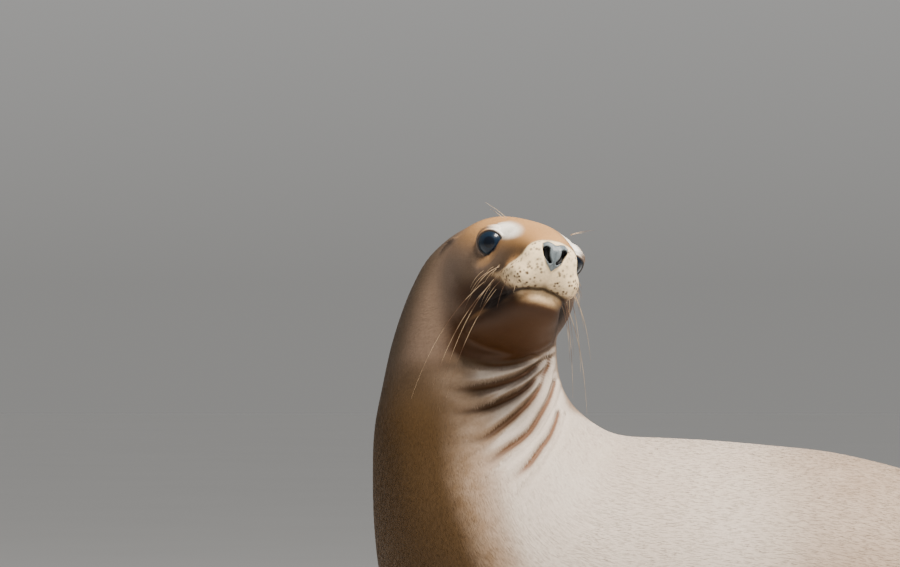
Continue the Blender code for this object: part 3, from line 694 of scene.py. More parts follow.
points = mesh_points(hide)
head = to_head(points)
in_head = head[:, 0] > -0.075
flat_at = points - np.array(SHIFT)
in_folds = ((np.abs(flat_at[:, 0] + 0.028) < 0.075) & (np.abs(flat_at[:, 2] - 0.450) < 0.085)
            & (flat_at[:, 1] < 0.12))
refined(hide, (in_head & (head[:, 2] > -0.125)) | in_folds)

for reach in (0.036, 0.024):
    head = to_head(mesh_points(hide))
    close = np.zeros(len(head), bool)
    for side in SIDES:
        away, beyond = eye_angles(head, side)[:2]
        rim = np.abs(beyond) < 9 if reach < 0.03 else beyond < 40
        close |= (away < reach) & rim & (head[:, 1] * side > 0)
    muzzle = (head[:, 0] > 0.030) & (head[:, 2] > -0.080) if reach > 0.03 else \
        (head[:, 0] > 0.086) & (np.abs(head[:, 1]) < 0.020) & (head[:, 2] > -0.040)
    lips = mouth_distance(head)[0] < (0.012 if reach > 0.03 else 0.0028)
    relaxed(hide, 0.5 * (head[:, 0] > -0.070), 3)
    refined(hide, close | muzzle | lips)

head = to_head(mesh_points(hide))
relaxed(hide, 0.5 * smooth_step(-0.02, 0.0, head[:, 0]), 4)

points = mesh_points(hide)
normals = mesh_normals(hide)
head = to_head(points)
thin = 1 - smooth_step(0.070, 0.092, head[:, 0])
low = smooth_step(0.0, 0.03, points[:, 2])
points -= normals * (COAT_DEPTH * thin * (0.3 + 0.7 * low))[:, None]
points += normals * (fold_rise(points, normals) + digit_rise(points))[:, None]
head = to_head(points)
sculpt_eyes(head)
sculpt_nose(head)
sculpt_mouth(head, normals @ HEAD_TURN)
points = from_head(head)
points[:, 2] = np.maximum(points[:, 2], 0.0)
set_points(hide, points)

hide = modified(hide, "TRIANGULATE")
hide = modified(hide, "DECIMATE", ratio=HIDE_TRIANGLES / len(hide.polygons))
for face in hide.polygons:
    face.use_smooth = True
hide.name = "hide"
hide_object = new_object("hide", hide)


# --- Hide: markings -----------------------------------------------------------------------
# A golden brown animal, silvery along the back, with a cream muzzle and brow and dark lips.
# The same few masks, laid down here by place, colour the skin and every tuft that grows on it.
# Some masks also carry painted light and shade: lighter on upward-facing parts and fold ridges, darker in the
# folds, under the jaw, below the eyes and on the neck's left.
PALE_EDGE = ((0.037, -0.0376), (0.0645, -0.0354), (0.0742, -0.0267), (0.0859, -0.0173),
             (0.0902, -0.0079), (0.0960, 0.0010))     # forward and up, along the top of the muzzle
ROW_GAP = 0.0050                      # between rows of whisker follicles
FOLLICLE_ROWS = 8
FOLLICLE_COLUMNS = 7
FOLLICLE_SEED = 8
DRY_SHINE = 0.28                      # specular level of hide and hair


def nearest_ring(points, rings):
    """The number of the torso ring that each point is nearest, by the rings' middles."""
    middles = np.array([ring.mean(axis=0) for ring in rings]) + np.array(SHIFT)
    return distance_to(points, middles)[1], middles


def on_flipper(points):
    """1 on the fore flippers, 2 on the hind ones, and how far out along each."""
    place = points - np.array(SHIFT)
    limb, out = np.zeros(len(points), int), np.zeros(len(points))
    fore_end, hind_end = (*FORE_TIP, 0.020, 0.006, 0), (0.560, 0.280, 0.002, 0.064, 0.007, 0)
    for number, rows, middle in ((1, (*FORE_FLIPPER[2:], fore_end), TRUNK_Y),
                                 (2, (*HIND_FOOT[2:], hind_end), PELVIS_Y)):
        x, gap, z, chord, thick = between_stations(rows, 60).T[:5]
        folded = np.stack([place[:, 0], np.abs(place[:, 1] - middle), place[:, 2]], axis=1)
        nearest = distance_to(folded, np.stack([x, gap, z], axis=1))[1]
        off = folded - np.stack([x, gap, z], axis=1)[nearest]
        flat = np.hypot(off[:, 0], off[:, 1]) / (1.25 * chord[nearest] + 0.004)
        inside = np.hypot(flat, off[:, 2] / (1.5 * thick[nearest] + 0.008)) < 1
        limb[inside] = number
        out[inside] = nearest[inside] / 59
    return limb, out


def follicle_sites():
    """Whisker follicles on one side of the muzzle: column, row, then forward, side and up of a
    place outside it. The rows fan from beside the nose towards the corner of the mouth."""
    sites = []
    for row in range(FOLLICLE_ROWS):
        for column in range(FOLLICLE_COLUMNS):
            turn = math.radians(14 + 15.5 * (column + 0.5 * (row % 2)))
            up = -0.0175 - ROW_GAP * row - 0.0011 * column - 0.0016 * (row < 2) * column
            if up > -0.0570 + 0.0008 * column:
                sites.append((column, row, 0.030 + 0.13 * math.cos(turn), 0.13 * math.sin(turn), up))
    return sites


def float_attribute(mesh, name, values, domain="POINT", kind="FLOAT"):
    layer = mesh.attributes.new(name, kind, domain)
    layer.data.foreach_set("vector" if kind == "FLOAT_VECTOR" else "value", np.ravel(values))


points, normals = mesh_points(hide), mesh_normals(hide)
head = to_head(points)
place = points - np.array(SHIFT)
side_on = np.abs(head[:, 1])
ring_number, ring_middles = nearest_ring(points, torso)
along = ring_number / (len(torso) - 1)
above_fold = place[:, 2] - np.interp(place[:, 0], *zip(*FOLDS[0][0]))
in_fold_band = smooth_step(-0.095, -0.060, place[:, 0]) * smooth_step(0.050, 0.038, place[:, 0]) \
    * smooth_step(0.3, -0.3, normals[:, 1])
on_head = smooth_step(-0.150, -0.105, head[:, 0]) * smooth_step(-0.150, -0.118, head[:, 2]) \
    * smooth_step(0.230, 0.190, np.linalg.norm(head, axis=1)) \
    * (1 - in_fold_band * smooth_step(0.003, -0.005, above_fold))
limb, limb_out = on_flipper(points)
mouth_far, mouth_up = mouth_distance(head)[:2]
eyes = {side: eye_angles(head, side) for side in SIDES}

muzzle_top = np.interp(head[:, 0], *zip(*PALE_EDGE))
muzzle_back = 0.016 + (-0.0376 - head[:, 2]) * 2.50
above_lip = smooth_step(-0.0006, 0.0006, mouth_up)
in_front = on_head * (head[:, 0] > 0.0)
pale = in_front * above_lip * smooth_step(-0.002, 0.004, muzzle_top - head[:, 2]) \
    * smooth_step(-0.006, 0.026, head[:, 0] - muzzle_back)
pale *= 1 - 0.50 * bump(mouth_far, 0.009) - 0.25 * smooth_step(0.0, 0.020, muzzle_top - head[:, 2]) \
    * (1 - smooth_step(0.075, 0.090, head[:, 0]))
lower_lip = in_front * (1 - above_lip) * smooth_step(-0.0720, -0.0600, head[:, 2]) \
    * smooth_step(0.062, 0.084, head[:, 0])
lids, under_eye = np.zeros((2, len(points)))
for side in SIDES:
    far, beyond, turn = eyes[side][:3]
    own = (head[:, 1] * side > 0) & (far < 0.06)
    lids += own * (1 - smooth_step(4.0, 9.0, beyond)) * (far < EYE_RADIUS + 0.0030)
    under_eye += own * smooth_step(8, 25, beyond) * smooth_step(100, 60, beyond) \
        * smooth_step(-5, -45, turn) * smooth_step(-178, -140, turn)
whisker_bed = pale * smooth_step(0.088, 0.056, head[:, 0])
pale = np.clip(pale * (1 - 0.25 * smooth_step(0.088, 0.056, head[:, 0])) + 0.55 * lower_lip, 0, 1)
# The pale brow is an ellipse over each eye, laid out across and up the body, not the head.
brow_across = (0.283 * head[:, 0] - 0.941 * side_on + 0.187 * head[:, 2] + 0.0260) / 0.0185
brow_up = (0.144 * head[:, 0] + 0.235 * side_on + 0.961 * head[:, 2] - 0.0228) / 0.0098
brow = smooth_step(1.20, 0.50, np.hypot(brow_across, brow_up)) * in_front
# Painted light: upward-facing parts of the head take a lighter tan, less so on the right side and below the
# eyes; the lower lip and whisker bed have the same tan as their own colour.
crown = on_head * smooth_step(0.25, 0.95, normals[:, 2]) * (1 - pale)
crown *= (1 - np.clip(1.2 * under_eye, 0, 1)) * (1 - 0.65 * smooth_step(0.005, 0.035, head[:, 1])) \
    * smooth_step(-0.095, -0.030, head[:, 0])
crown = np.maximum(crown, np.maximum(0.9 * lower_lip, whisker_bed))
ear_line = from_head([[EAR_PLACE[0] + x, side * (EAR_PLACE[1] + y + 0.001), EAR_PLACE[2] + z]
                      for side in SIDES for x, y, z in between_stations(EAR_RINGS, 12)[:, :3]])
ear = bump(distance_to(points, ear_line)[0], 0.0036) * (side_on > 0.0665)
speckle = in_front * smooth_step(0.030, 0.048, head[:, 0]) * above_lip \
    * smooth_step(0.000, 0.006, muzzle_top - head[:, 2]) * smooth_step(0.004, 0.010, side_on) \
    * (1 - 0.6 * bump(head[:, 2] + 0.025, 0.010))
mouth_dark = bump(mouth_far, 0.0027) * in_front
corner_far = np.linalg.norm((np.stack([head[:, 0], side_on, head[:, 2]], axis=1)
                             - np.array(CORNER) - [0.010, 0, 0.002]) * [0.50, 0.5, 1.0], axis=1)
dark = np.clip(bump(corner_far, 0.0150) * on_head * 1.6 + mouth_dark, 0, 1)
# Painted shadow: the throat between the jaw and the first fold, and the underside of the jaw below, are
# darkened; both go into the under mask.
throat = smooth_step(-0.003, 0.005, above_fold) * smooth_step(0.050, 0.030, above_fold) \
    * in_fold_band * smooth_step(0.026, 0.004, place[:, 0])
chin_edge = head[:, 2] - 0.012 * smooth_step(0.060, 0.015, head[:, 0])
under = on_head * smooth_step(-0.044, -0.070, chin_edge) * (1 - 0.5 * lower_lip) \
    * smooth_step(-0.065, -0.015, head[:, 0])
cheek = on_head * smooth_step(0.025, 0.055, side_on) * (1 - pale) * (1 - crown)
nape = (1 - on_head * smooth_step(-0.110, -0.070, head[:, 0])) * smooth_step(0.44, 0.53, place[:, 2]) \
    * (1 - 0.8 * crown)
# Painted shadow: the nape's brown is also laid below each eye.
nape = np.maximum(nape, 0.6 * np.clip(under_eye, 0, 1) * (1 - pale))
under = np.clip(under + throat, 0, 1)
nose = smooth_step(-0.0004, 0.0006, pad_depth(head)) * (head[:, 0] > 0.082)
nostril = smooth_step(-0.0003, 0.0006, nostril_depth(head)) * nose
# Silvery back, and also painted light: the mask grows on upward-facing surfaces, and it starts late on the
# neck's left so that side stays dark as painted shade.
silver_starts = np.interp(place[:, 2], (0.30, 0.354, 0.385, 0.406, 0.446, 0.465, 0.497, 0.515, 0.530),
                          (-0.030, -0.050, -0.060, -0.062, -0.064, -0.066, -0.085, -0.050, 0.000))
past_start = (place[:, 0] - silver_starts + 0.035) / (0.080 + 0.045 * bump(place[:, 2] - 0.46, 0.06))
silver = smooth_step(0.0, 1.0, past_start) * (1 - on_head) \
    * smooth_step(-0.55, 0.45, normals[:, 2] + 0.25) * (1 - 0.30 * smooth_step(0.20, 0.36, place[:, 0])) \
    * (1 - 0.30 * smooth_step(0.62, 0.90, place[:, 0]))
folds = fold_rise(points, normals)
# Painted shade: the bottoms of the folds are darkened, to a tan where the coat is silvery.
crease = smooth_step(0.0001, 0.0026, -folds) * (1 - throat)
# Painted highlight: the tops of the ridges between the folds are made more silvery.
silver = np.clip(silver * (1 + 0.5 * np.clip(folds / 0.0014, 0, 1) * (1 - throat)), 0, 1)
palm = smooth_step(0.004, 0.0015, points[:, 2]) * (limb > 0)
limb_bare = smooth_step(0.35, 0.80, limb_out) * (limb > 0)
bare = np.clip(nose + lids + palm + limb_bare + 0.9 * bump(mouth_far, 0.0011) * in_front, 0, 1)
limb_dark = smooth_step(0.05, 0.50, limb_out) * (limb > 0)

sites = follicle_sites()
chance = np.random.default_rng(FOLLICLE_SEED)
tree = BVHTree.FromPolygons([tuple(p) for p in head], [tuple(face.vertices) for face in hide.polygons])
follicles = []
for side in SIDES:
    for column, row, forward, out, up in sites:
        start = Vector((forward, side * out, up)) + Vector(chance.normal(0, 0.0011, 3))
        hit = tree.ray_cast(start, Vector((0.030, 0, up)) - start)
        if hit[0] is not None:
            follicles.append((side, column, row, *hit[0], *hit[1]))
follicles = np.array(follicles)
fleck = bump(distance_to(head[head[:, 0] > 0.02], follicles[:, 3:6])[0], 0.00125)
flecks = np.zeros(len(points))
flecks[head[:, 0] > 0.02] = fleck

# Length of hair, from the muzzle back along the body, and down the limbs.
hair = 0.0016 + 0.0017 * smooth_step(0.085, 0.010, head[:, 0]) \
    + 0.0012 * smooth_step(0.010, -0.080, head[:, 0])
hair = on_head * hair + (1 - on_head) * (0.0055 + 0.0035 * smooth_step(0.10, 0.45, along))
hair = np.where(limb > 0, hair * (1 - 0.7 * limb_out), hair)
hair *= 1 - 0.7 * smooth_step(0.0001, 0.0009, np.abs(folds))
hair *= 0.3 + 0.7 * smooth_step(0.002, 0.035, points[:, 2])
hair *= 1 - 0.45 * (1 - smooth_step(2, 18, np.minimum(np.where(head[:, 1] > 0, eyes[1][1], 99),
                                                     np.where(head[:, 1] < 0, eyes[-1][1], 99)))) * on_head

# The lie of the coat: back from the nose, then along the body, and out along the limbs.
flow = np.gradient(ring_middles, axis=0)[ring_number]
flow /= np.linalg.norm(flow, axis=1)[:, None]
from_nose = points - from_head([0.100, 0.0, -0.010])
from_nose /= np.linalg.norm(from_nose, axis=1)[:, None]
lie = flow * (1 - on_head)[:, None] + from_nose * on_head[:, None]
for side in SIDES:
    fore = (limb == 1) & ((place[:, 1] - TRUNK_Y) * side < 0)
    lie[fore] = (0.5, -side * 0.85, -0.25)
    hind = (limb == 2) & ((place[:, 1] - PELVIS_Y) * side < 0)
    lie[hind] = (-math.cos(TOE_AIM), -side * math.sin(TOE_AIM), -0.1)
lie = eased(hide, lie, 0.5 + 0.5 * smooth_step(0.05, -0.05, head[:, 0]), 40)
lie[:, 2] = np.where(points[:, 2] < 0.020, np.maximum(lie[:, 2], 0.0), lie[:, 2])
lie -= normals * (lie * normals).sum(axis=1)[:, None]
lie /= np.maximum(np.linalg.norm(lie, axis=1), 1e-6)[:, None]

# An unwrap of the hide: round the body and along it, the head about its own axis.
arm = points - ring_middles[ring_number]
torso_turn = np.arctan2(arm[:, 1], (arm * np.cross(flow, (0, 1, 0))).sum(axis=1)) / (2 * math.pi) + 0.5
head_turn = np.arctan2(head[:, 1], head[:, 2] + 0.035) / (2 * math.pi) + 0.5

# Where each coat piece grows: its number of tufts and its part of the hide.
COATS = {"coat_face": 32000, "coat_head": 32000, "coat_neck": 32500, "coat_chest": 32500,
         "coat_flank": 32500, "coat_rump": 30000, "coat_limbs": 12000}
region = np.where(head[:, 0] > 0.015, 0, 1)
under_head = (place - (0.030, 0, 0.520)) @ np.array((0.10, 0.28, 1.0)) < 0
under_neck = (place - (0.060, 0, 0.455)) @ np.array((-0.45, 0, 0.89)) < 0
region = np.where(under_head & ((head[:, 0] < 0.0) | (head[:, 2] < -0.12)), 2, region)
region = np.where(under_neck | (place[:, 2] < 0.36), 3, region)
region = np.where((region == 3) & (place[:, 0] > 0.10), 4, region)
region = np.where((region == 4) & (place[:, 0] > 0.46), 5, region)
region = np.where(limb > 0, 6, region)

head_like = (region == 0) | (region == 1)
unwrap = np.stack([np.where(head_like, head_turn, torso_turn),
                   np.where(head_like, head[:, 0], along), np.zeros(len(points))], axis=1)
unwrap[region == 6, :2] = place[region == 6][:, :2]
grain = np.stack([np.where(head_like, head_turn * 0.42, torso_turn * 0.95),
                  np.where(head_like, head[:, 0], along * 1.3), np.zeros(len(points))], axis=1)
grain[region == 6, 0] = (place[region == 6] * [math.sin(TOE_AIM), math.cos(TOE_AIM), 0]).sum(axis=1)
grain[region == 6, 1] = place[region == 6, 0]
thickness = np.clip(1 - 1.6 * bare, 0, 1) * (points[:, 2] > 0.0015)
growth = thickness / np.maximum(hair, 0.001) ** 1.5
corners = np.array([tuple(face.vertices) for face in hide.polygons])
areas = np.empty(len(corners))
hide.polygons.foreach_get("area", areas)
face_region = region[corners[:, 0]]
tufts = np.zeros(len(points))
for number, count in enumerate(COATS.values()):
    own_faces = face_region == number
    own_points = np.unique(corners[own_faces])
    low, high = unwrap[own_points, :2].min(axis=0), unwrap[own_points, :2].max(axis=0)
    own = region == number
    unwrap[own, :2] = 0.01 + 0.98 * (unwrap[own, :2] - low) / (high - low)
    spread = (growth[corners[own_faces]].mean(axis=1) * areas[own_faces]).sum()
    tufts[own] = growth[own] * count / spread

for name, values in (("silver", silver), ("pale", pale), ("brow", brow), ("crown", crown),
                     ("cheek", cheek), ("nape", nape), ("ear", ear), ("dark", dark), ("under", under),
                     ("crease", crease), ("bare", bare), ("nose", nose), ("nostril", nostril),
                     ("limb", limb_dark), ("fleck", flecks), ("speckle", speckle), ("hair", hair),
                     ("tufts", tufts)):
    float_attribute(hide, name, values)
float_attribute(hide, "lie", lie, kind="FLOAT_VECTOR")
float_attribute(hide, "unwrap", unwrap, kind="FLOAT_VECTOR")
float_attribute(hide, "grain", grain, kind="FLOAT_VECTOR")
float_attribute(hide, "region", face_region, domain="FACE", kind="INT")


def fill(tree, socket, value):
    """Links a socket to another, or sets its value; a colour may be given as three numbers."""
    if isinstance(value, bpy.types.NodeSocket):
        tree.links.new(value, socket)
    elif socket.type == "RGBA" and len(value) == 3:
        socket.default_value = (*value, 1.0)
    else:
        socket.default_value = value


def feed(tree, made, **values):
    """Fills a node's sockets, given by name or number."""
    for name, value in values.items():
        fill(tree, made.inputs[int(name) if name.isdigit() else name.replace("_", " ")], value)


def node(tree, kind, **settings):
    """A node with its settings; socket values are given as _Name=value or _0=value."""
    made = tree.nodes.new(kind)
    for name, value in settings.items():
        if not name.startswith("_"):
            setattr(made, name, value)
    feed(tree, made, **{name[1:]: value for name, value in settings.items() if name.startswith("_")})
    return made


def calculated(tree, operation, *values):
    """The result of a Math node."""
    made = node(tree, "ShaderNodeMath", operation=operation)
    for socket, value in zip(made.inputs, values):
        fill(tree, socket, value)
    return made.outputs[0]


def product(tree, first, second):
    """Two values multiplied."""
    return calculated(tree, "MULTIPLY", first, second)


def blended(tree, factor, first, second, blend="MIX"):
    """A colour mixed from two."""
    made = node(tree, "ShaderNodeMix", data_type="RGBA", blend_type=blend)
    for socket, value in zip((made.inputs[0], made.inputs[6], made.inputs[7]), (factor, first, second)):
        fill(tree, socket, value)
    return made.outputs[2]


def noise(tree, scale, detail=3.0, roughness=0.55, vector=None):
    """A noise, by place on the piece unless told otherwise."""
    made = node(tree, "ShaderNodeTexNoise", _Scale=scale, _Detail=detail, _Roughness=roughness)
    if vector is None:
        vector = node(tree, "ShaderNodeTexCoord").outputs["Object"]
    tree.links.new(vector, made.inputs["Vector"])
    return made.outputs["Fac"]


MASKS = ("silver", "pale", "brow", "crown", "cheek", "nape", "ear", "dark", "under", "crease", "bare", "nose",
         "nostril", "limb", "fleck", "speckle")
# SILVER_AND_PAINTED_LIGHT is the back's own colour and also the painted light on upward-facing parts and fold
# ridges.
GOLD, CHEEK, SILVER_AND_PAINTED_LIGHT = (0.066, 0.032, 0.006), (0.162, 0.110, 0.078), (0.570, 0.485, 0.415)
BRONZE, NAPE_BROWN_AND_SHADE, HONEY = (0.070, 0.038, 0.013), (0.074, 0.048, 0.028), (0.300, 0.165, 0.068)
CREAM, WHITE, TAN = (0.950, 0.750, 0.470), (0.940, 0.890, 0.810), (0.480, 0.255, 0.095)
LIP_BLACK, RUST_AND_SHADE = (0.010, 0.004, 0.002), (0.046, 0.0155, 0.0011)
CREASE_DARK, CREASE_TAN, HIDE_BROWN = (0.050, 0.022, 0.005), (0.135, 0.047, 0.008), (0.050, 0.034, 0.027)
NOSE_GREY, NOSE_BLACK, FLECK_BROWN = (0.110, 0.135, 0.150), (0.004, 0.004, 0.005), (0.055, 0.024, 0.009)


def markings_group():
    """The animal's colours with their painted light and shade, from the masks that the hide and its tufts
    both carry.
    """
    tree = bpy.data.node_groups.new("sea_lion_markings", "ShaderNodeTree")
    for name in MASKS:
        tree.interface.new_socket(name.capitalize(), in_out="INPUT", socket_type="NodeSocketFloat")
    for name, kind in (("Colour", "NodeSocketColor"), ("Roughness", "NodeSocketFloat"),
                       ("Wet", "NodeSocketFloat")):
        tree.interface.new_socket(name, in_out="OUTPUT", socket_type=kind)
    given = node(tree, "NodeGroupInput").outputs
    cloud = noise(tree, 9.0, 4.0)
    patch = noise(tree, 7.0, 3.0, 0.5)
    mottle = noise(tree, 60.0, 4.0, 0.6)
    grain = noise(tree, 420.0, 2.0, 0.6)
    # The gold base is dark partly as painted shade for the neck's left side.
    colour = blended(tree, cloud, GOLD, BRONZE)
    not_silver = calculated(tree, "SUBTRACT", 1.0, given["Silver"])
    edge = product(tree, given["Silver"], not_silver)
    shade = calculated(tree, "MULTIPLY_ADD", mottle, 3.0, -1.5)
    shade = calculated(tree, "MULTIPLY_ADD", edge, shade, given["Silver"])
    # The silver back, with painted light on upward-facing parts and ridge tops.
    colour = blended(tree, shade, colour, SILVER_AND_PAINTED_LIGHT)
    colour = blended(tree, product(tree, edge, 1.7), colour, HONEY)
    colour = blended(tree, given["Cheek"], colour, CHEEK)
    # The nape's brown, also used as painted shadow below the eyes.
    colour = blended(tree, product(tree, given["Nape"], not_silver), colour, NAPE_BROWN_AND_SHADE)
    # Painted shadow under the jaw and in the throat, in the chin's rusty brown.
    colour = blended(tree, given["Under"], colour, RUST_AND_SHADE)
    colour = blended(tree, given["Limb"], colour, HIDE_BROWN)
    # Painted light on the head's upward-facing parts, and the tan of the lower lip and whisker bed.
    colour = blended(tree, given["Crown"], colour, TAN)
    between = product(tree, given["Pale"], calculated(tree, "SUBTRACT", 1.0, given["Pale"]))
    ragged = product(tree, calculated(tree, "SUBTRACT", mottle, 0.5), 6.0)
    ragged = calculated(tree, "MULTIPLY_ADD", between, ragged, given["Pale"])
    ragged = calculated(tree, "MAXIMUM", calculated(tree, "MINIMUM", ragged, 1.0), 0.0)
    colour = blended(tree, ragged, colour, CREAM)
    colour = blended(tree, given["Brow"], colour, WHITE)
    colour = blended(tree, product(tree, given["Ear"], 0.85), colour, HIDE_BROWN)
    # Painted shade in the bottoms of the folds.
    silver_squared = product(tree, given["Silver"], given["Silver"])
    deep = blended(tree, silver_squared, CREASE_DARK, CREASE_TAN)
    colour = blended(tree, product(tree, given["Crease"], 0.92), colour, deep)
    colour = blended(tree, given["Dark"], colour, LIP_BLACK)
    cells = node(tree, "ShaderNodeTexVoronoi", _Scale=205.0,
                 _Vector=node(tree, "ShaderNodeTexCoord").outputs["Object"]).outputs["Distance"]
    spots = node(tree, "ShaderNodeMapRange", _0=cells, _1=0.40, _2=0.18).outputs[0]
    spots = product(tree, product(tree, spots, given["Speckle"]), 0.95)
    colour = blended(tree, spots, colour, FLECK_BROWN)
    colour = blended(tree, product(tree, given["Fleck"], 0.9), colour, FLECK_BROWN)
    leather = blended(tree, mottle, HIDE_BROWN, (0.026, 0.020, 0.018))
    leather = blended(tree, given["Nose"], leather, NOSE_GREY)
    leather = blended(tree, given["Nostril"], leather, NOSE_BLACK)
    colour = blended(tree, given["Bare"], colour, leather)
    dusk = product(tree, calculated(tree, "MULTIPLY_ADD", patch, 1.0, -0.35),
                      calculated(tree, "SUBTRACT", 1.0, given["Pale"]))
    colour = blended(tree, calculated(tree, "MAXIMUM", dusk, 0.0), colour,
                     blended(tree, 1.0, colour, (0.74, 0.66, 0.58), "MULTIPLY"))
    colour = blended(tree, calculated(tree, "MULTIPLY_ADD", grain, 0.7, -0.1), colour,
                     blended(tree, 1.0, colour, (0.55, 0.52, 0.50), "MULTIPLY"))
    rough = calculated(tree, "MULTIPLY_ADD", given["Bare"], -0.18, 0.60)
    rough = calculated(tree, "MULTIPLY_ADD", given["Nose"], -0.06, rough)
    rough = calculated(tree, "MULTIPLY_ADD", given["Dark"], 0.20, rough)
    rough = calculated(tree, "MULTIPLY_ADD", mottle, 0.10, calculated(tree, "SUBTRACT", rough, 0.05))
    wet = product(tree, given["Nose"], 0.35)
    node(tree, "NodeGroupOutput", _Colour=colour, _Roughness=rough, _Wet=wet)
    return tree


MARKINGS = markings_group()


def marked(tree):
    """The markings, fed with the masks that the mesh carries."""
    group = node(tree, "ShaderNodeGroup", node_tree=MARKINGS)
    for name in MASKS:
        mask = node(tree, "ShaderNodeAttribute", attribute_name=name)
        tree.links.new(mask.outputs["Fac"], group.inputs[name.capitalize()])
    return group.outputs


def new_material(name):
    """A material, its node tree and its shader."""
    made = bpy.data.materials.new(name)
    made.use_nodes = True
    return made, made.node_tree, made.node_tree.nodes["Principled BSDF"]


def hide_material():
    """Skin under short hair, with fine creases where it is bare."""
    made, tree, shader = new_material("hide")
    colours = marked(tree)
    lie_map = node(tree, "ShaderNodeAttribute", attribute_name="grain").outputs["Vector"]
    streak_at = node(tree, "ShaderNodeMapping", _Vector=lie_map, _Scale=(900.0, 110.0, 1.0)).outputs[0]
    streaks = noise(tree, 1.0, 3.0, 0.6, streak_at)
    pores = node(tree, "ShaderNodeTexVoronoi", _Scale=900.0,
                 _Vector=node(tree, "ShaderNodeTexCoord").outputs["Object"]).outputs["Distance"]
    bare_mask = node(tree, "ShaderNodeAttribute", attribute_name="bare").outputs["Fac"]
    height = node(tree, "ShaderNodeMix", _Factor=bare_mask, _A=streaks, _B=pores).outputs[0]
    relief = node(tree, "ShaderNodeBump", _Strength=0.35, _Distance=0.0004, _Height=height)
    feed(tree, shader, Base_Color=colours["Colour"], Roughness=colours["Roughness"],
         Coat_Weight=colours["Wet"], Normal=relief.outputs[0], Coat_Roughness=0.38,
         Specular_IOR_Level=DRY_SHINE)
    return made


hide.materials.clear()
hide.materials.append(hide_material())
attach(hide_object, "root")
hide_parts("head", "neck", "trunk", "tail", "jaw", "nose", "ear_left", "ear_right",
            "fore_flipper_left", "fore_flipper_right", "hind_flipper_left", "hind_flipper_right")


# --- Coat ---------------------------------------------------------------------------------
# Short coarse hair that lies flat in narrow locks, each over the roots of the next. It is
# shortest on the muzzle and thins out to bare skin on lids, lips, palms and toes.
TUFT_RIDGE = ((0.00, 0.30, -0.30, 0.00), (0.40, 0.50, 0.00, 0.26))  # along, half width, edge, ridge
TUFT_SLENDER = 0.080                  # a lock's width for its length
TUFT_LEAST = 0.00012
TUFT_LIFT = math.radians(2.2)
TUFT_FLATNESS = 0.6                   # a lock's height for its width
PATCH = 0.003                         # each lock's share of the unwrap
COAT_SEED = 11


def tuft_shape():
    """One lock, a unit long: two ridged stations and a point."""
    points, along = [], []
    for at, half, edge, ridge in TUFT_RIDGE:
        points += [(at, -half, edge), (at, 0, ridge), (at, half, edge)]
        along += [at] * 3
    points.append((1.0, 0.0, 0.30))
    along.append(1.0)
    faces = [(0, 3, 4, 1), (1, 4, 5, 2), (3, 6, 4), (4, 6, 5)]
    mesh = bpy.data.meshes.new("tuft")
    mesh.from_pydata(points, [], faces)
    float_attribute(mesh, "along", np.array(along))
    float_attribute(mesh, "patch", np.array([(x, y + 0.5, 0) for x, y, z in points]) * PATCH,
                    kind="FLOAT_VECTOR")
    return new_object("tuft", mesh)


def named(tree, name, kind="FLOAT"):
    made = node(tree, "GeometryNodeInputNamedAttribute", data_type=kind, _Name=name)
    return made.outputs["Attribute"]


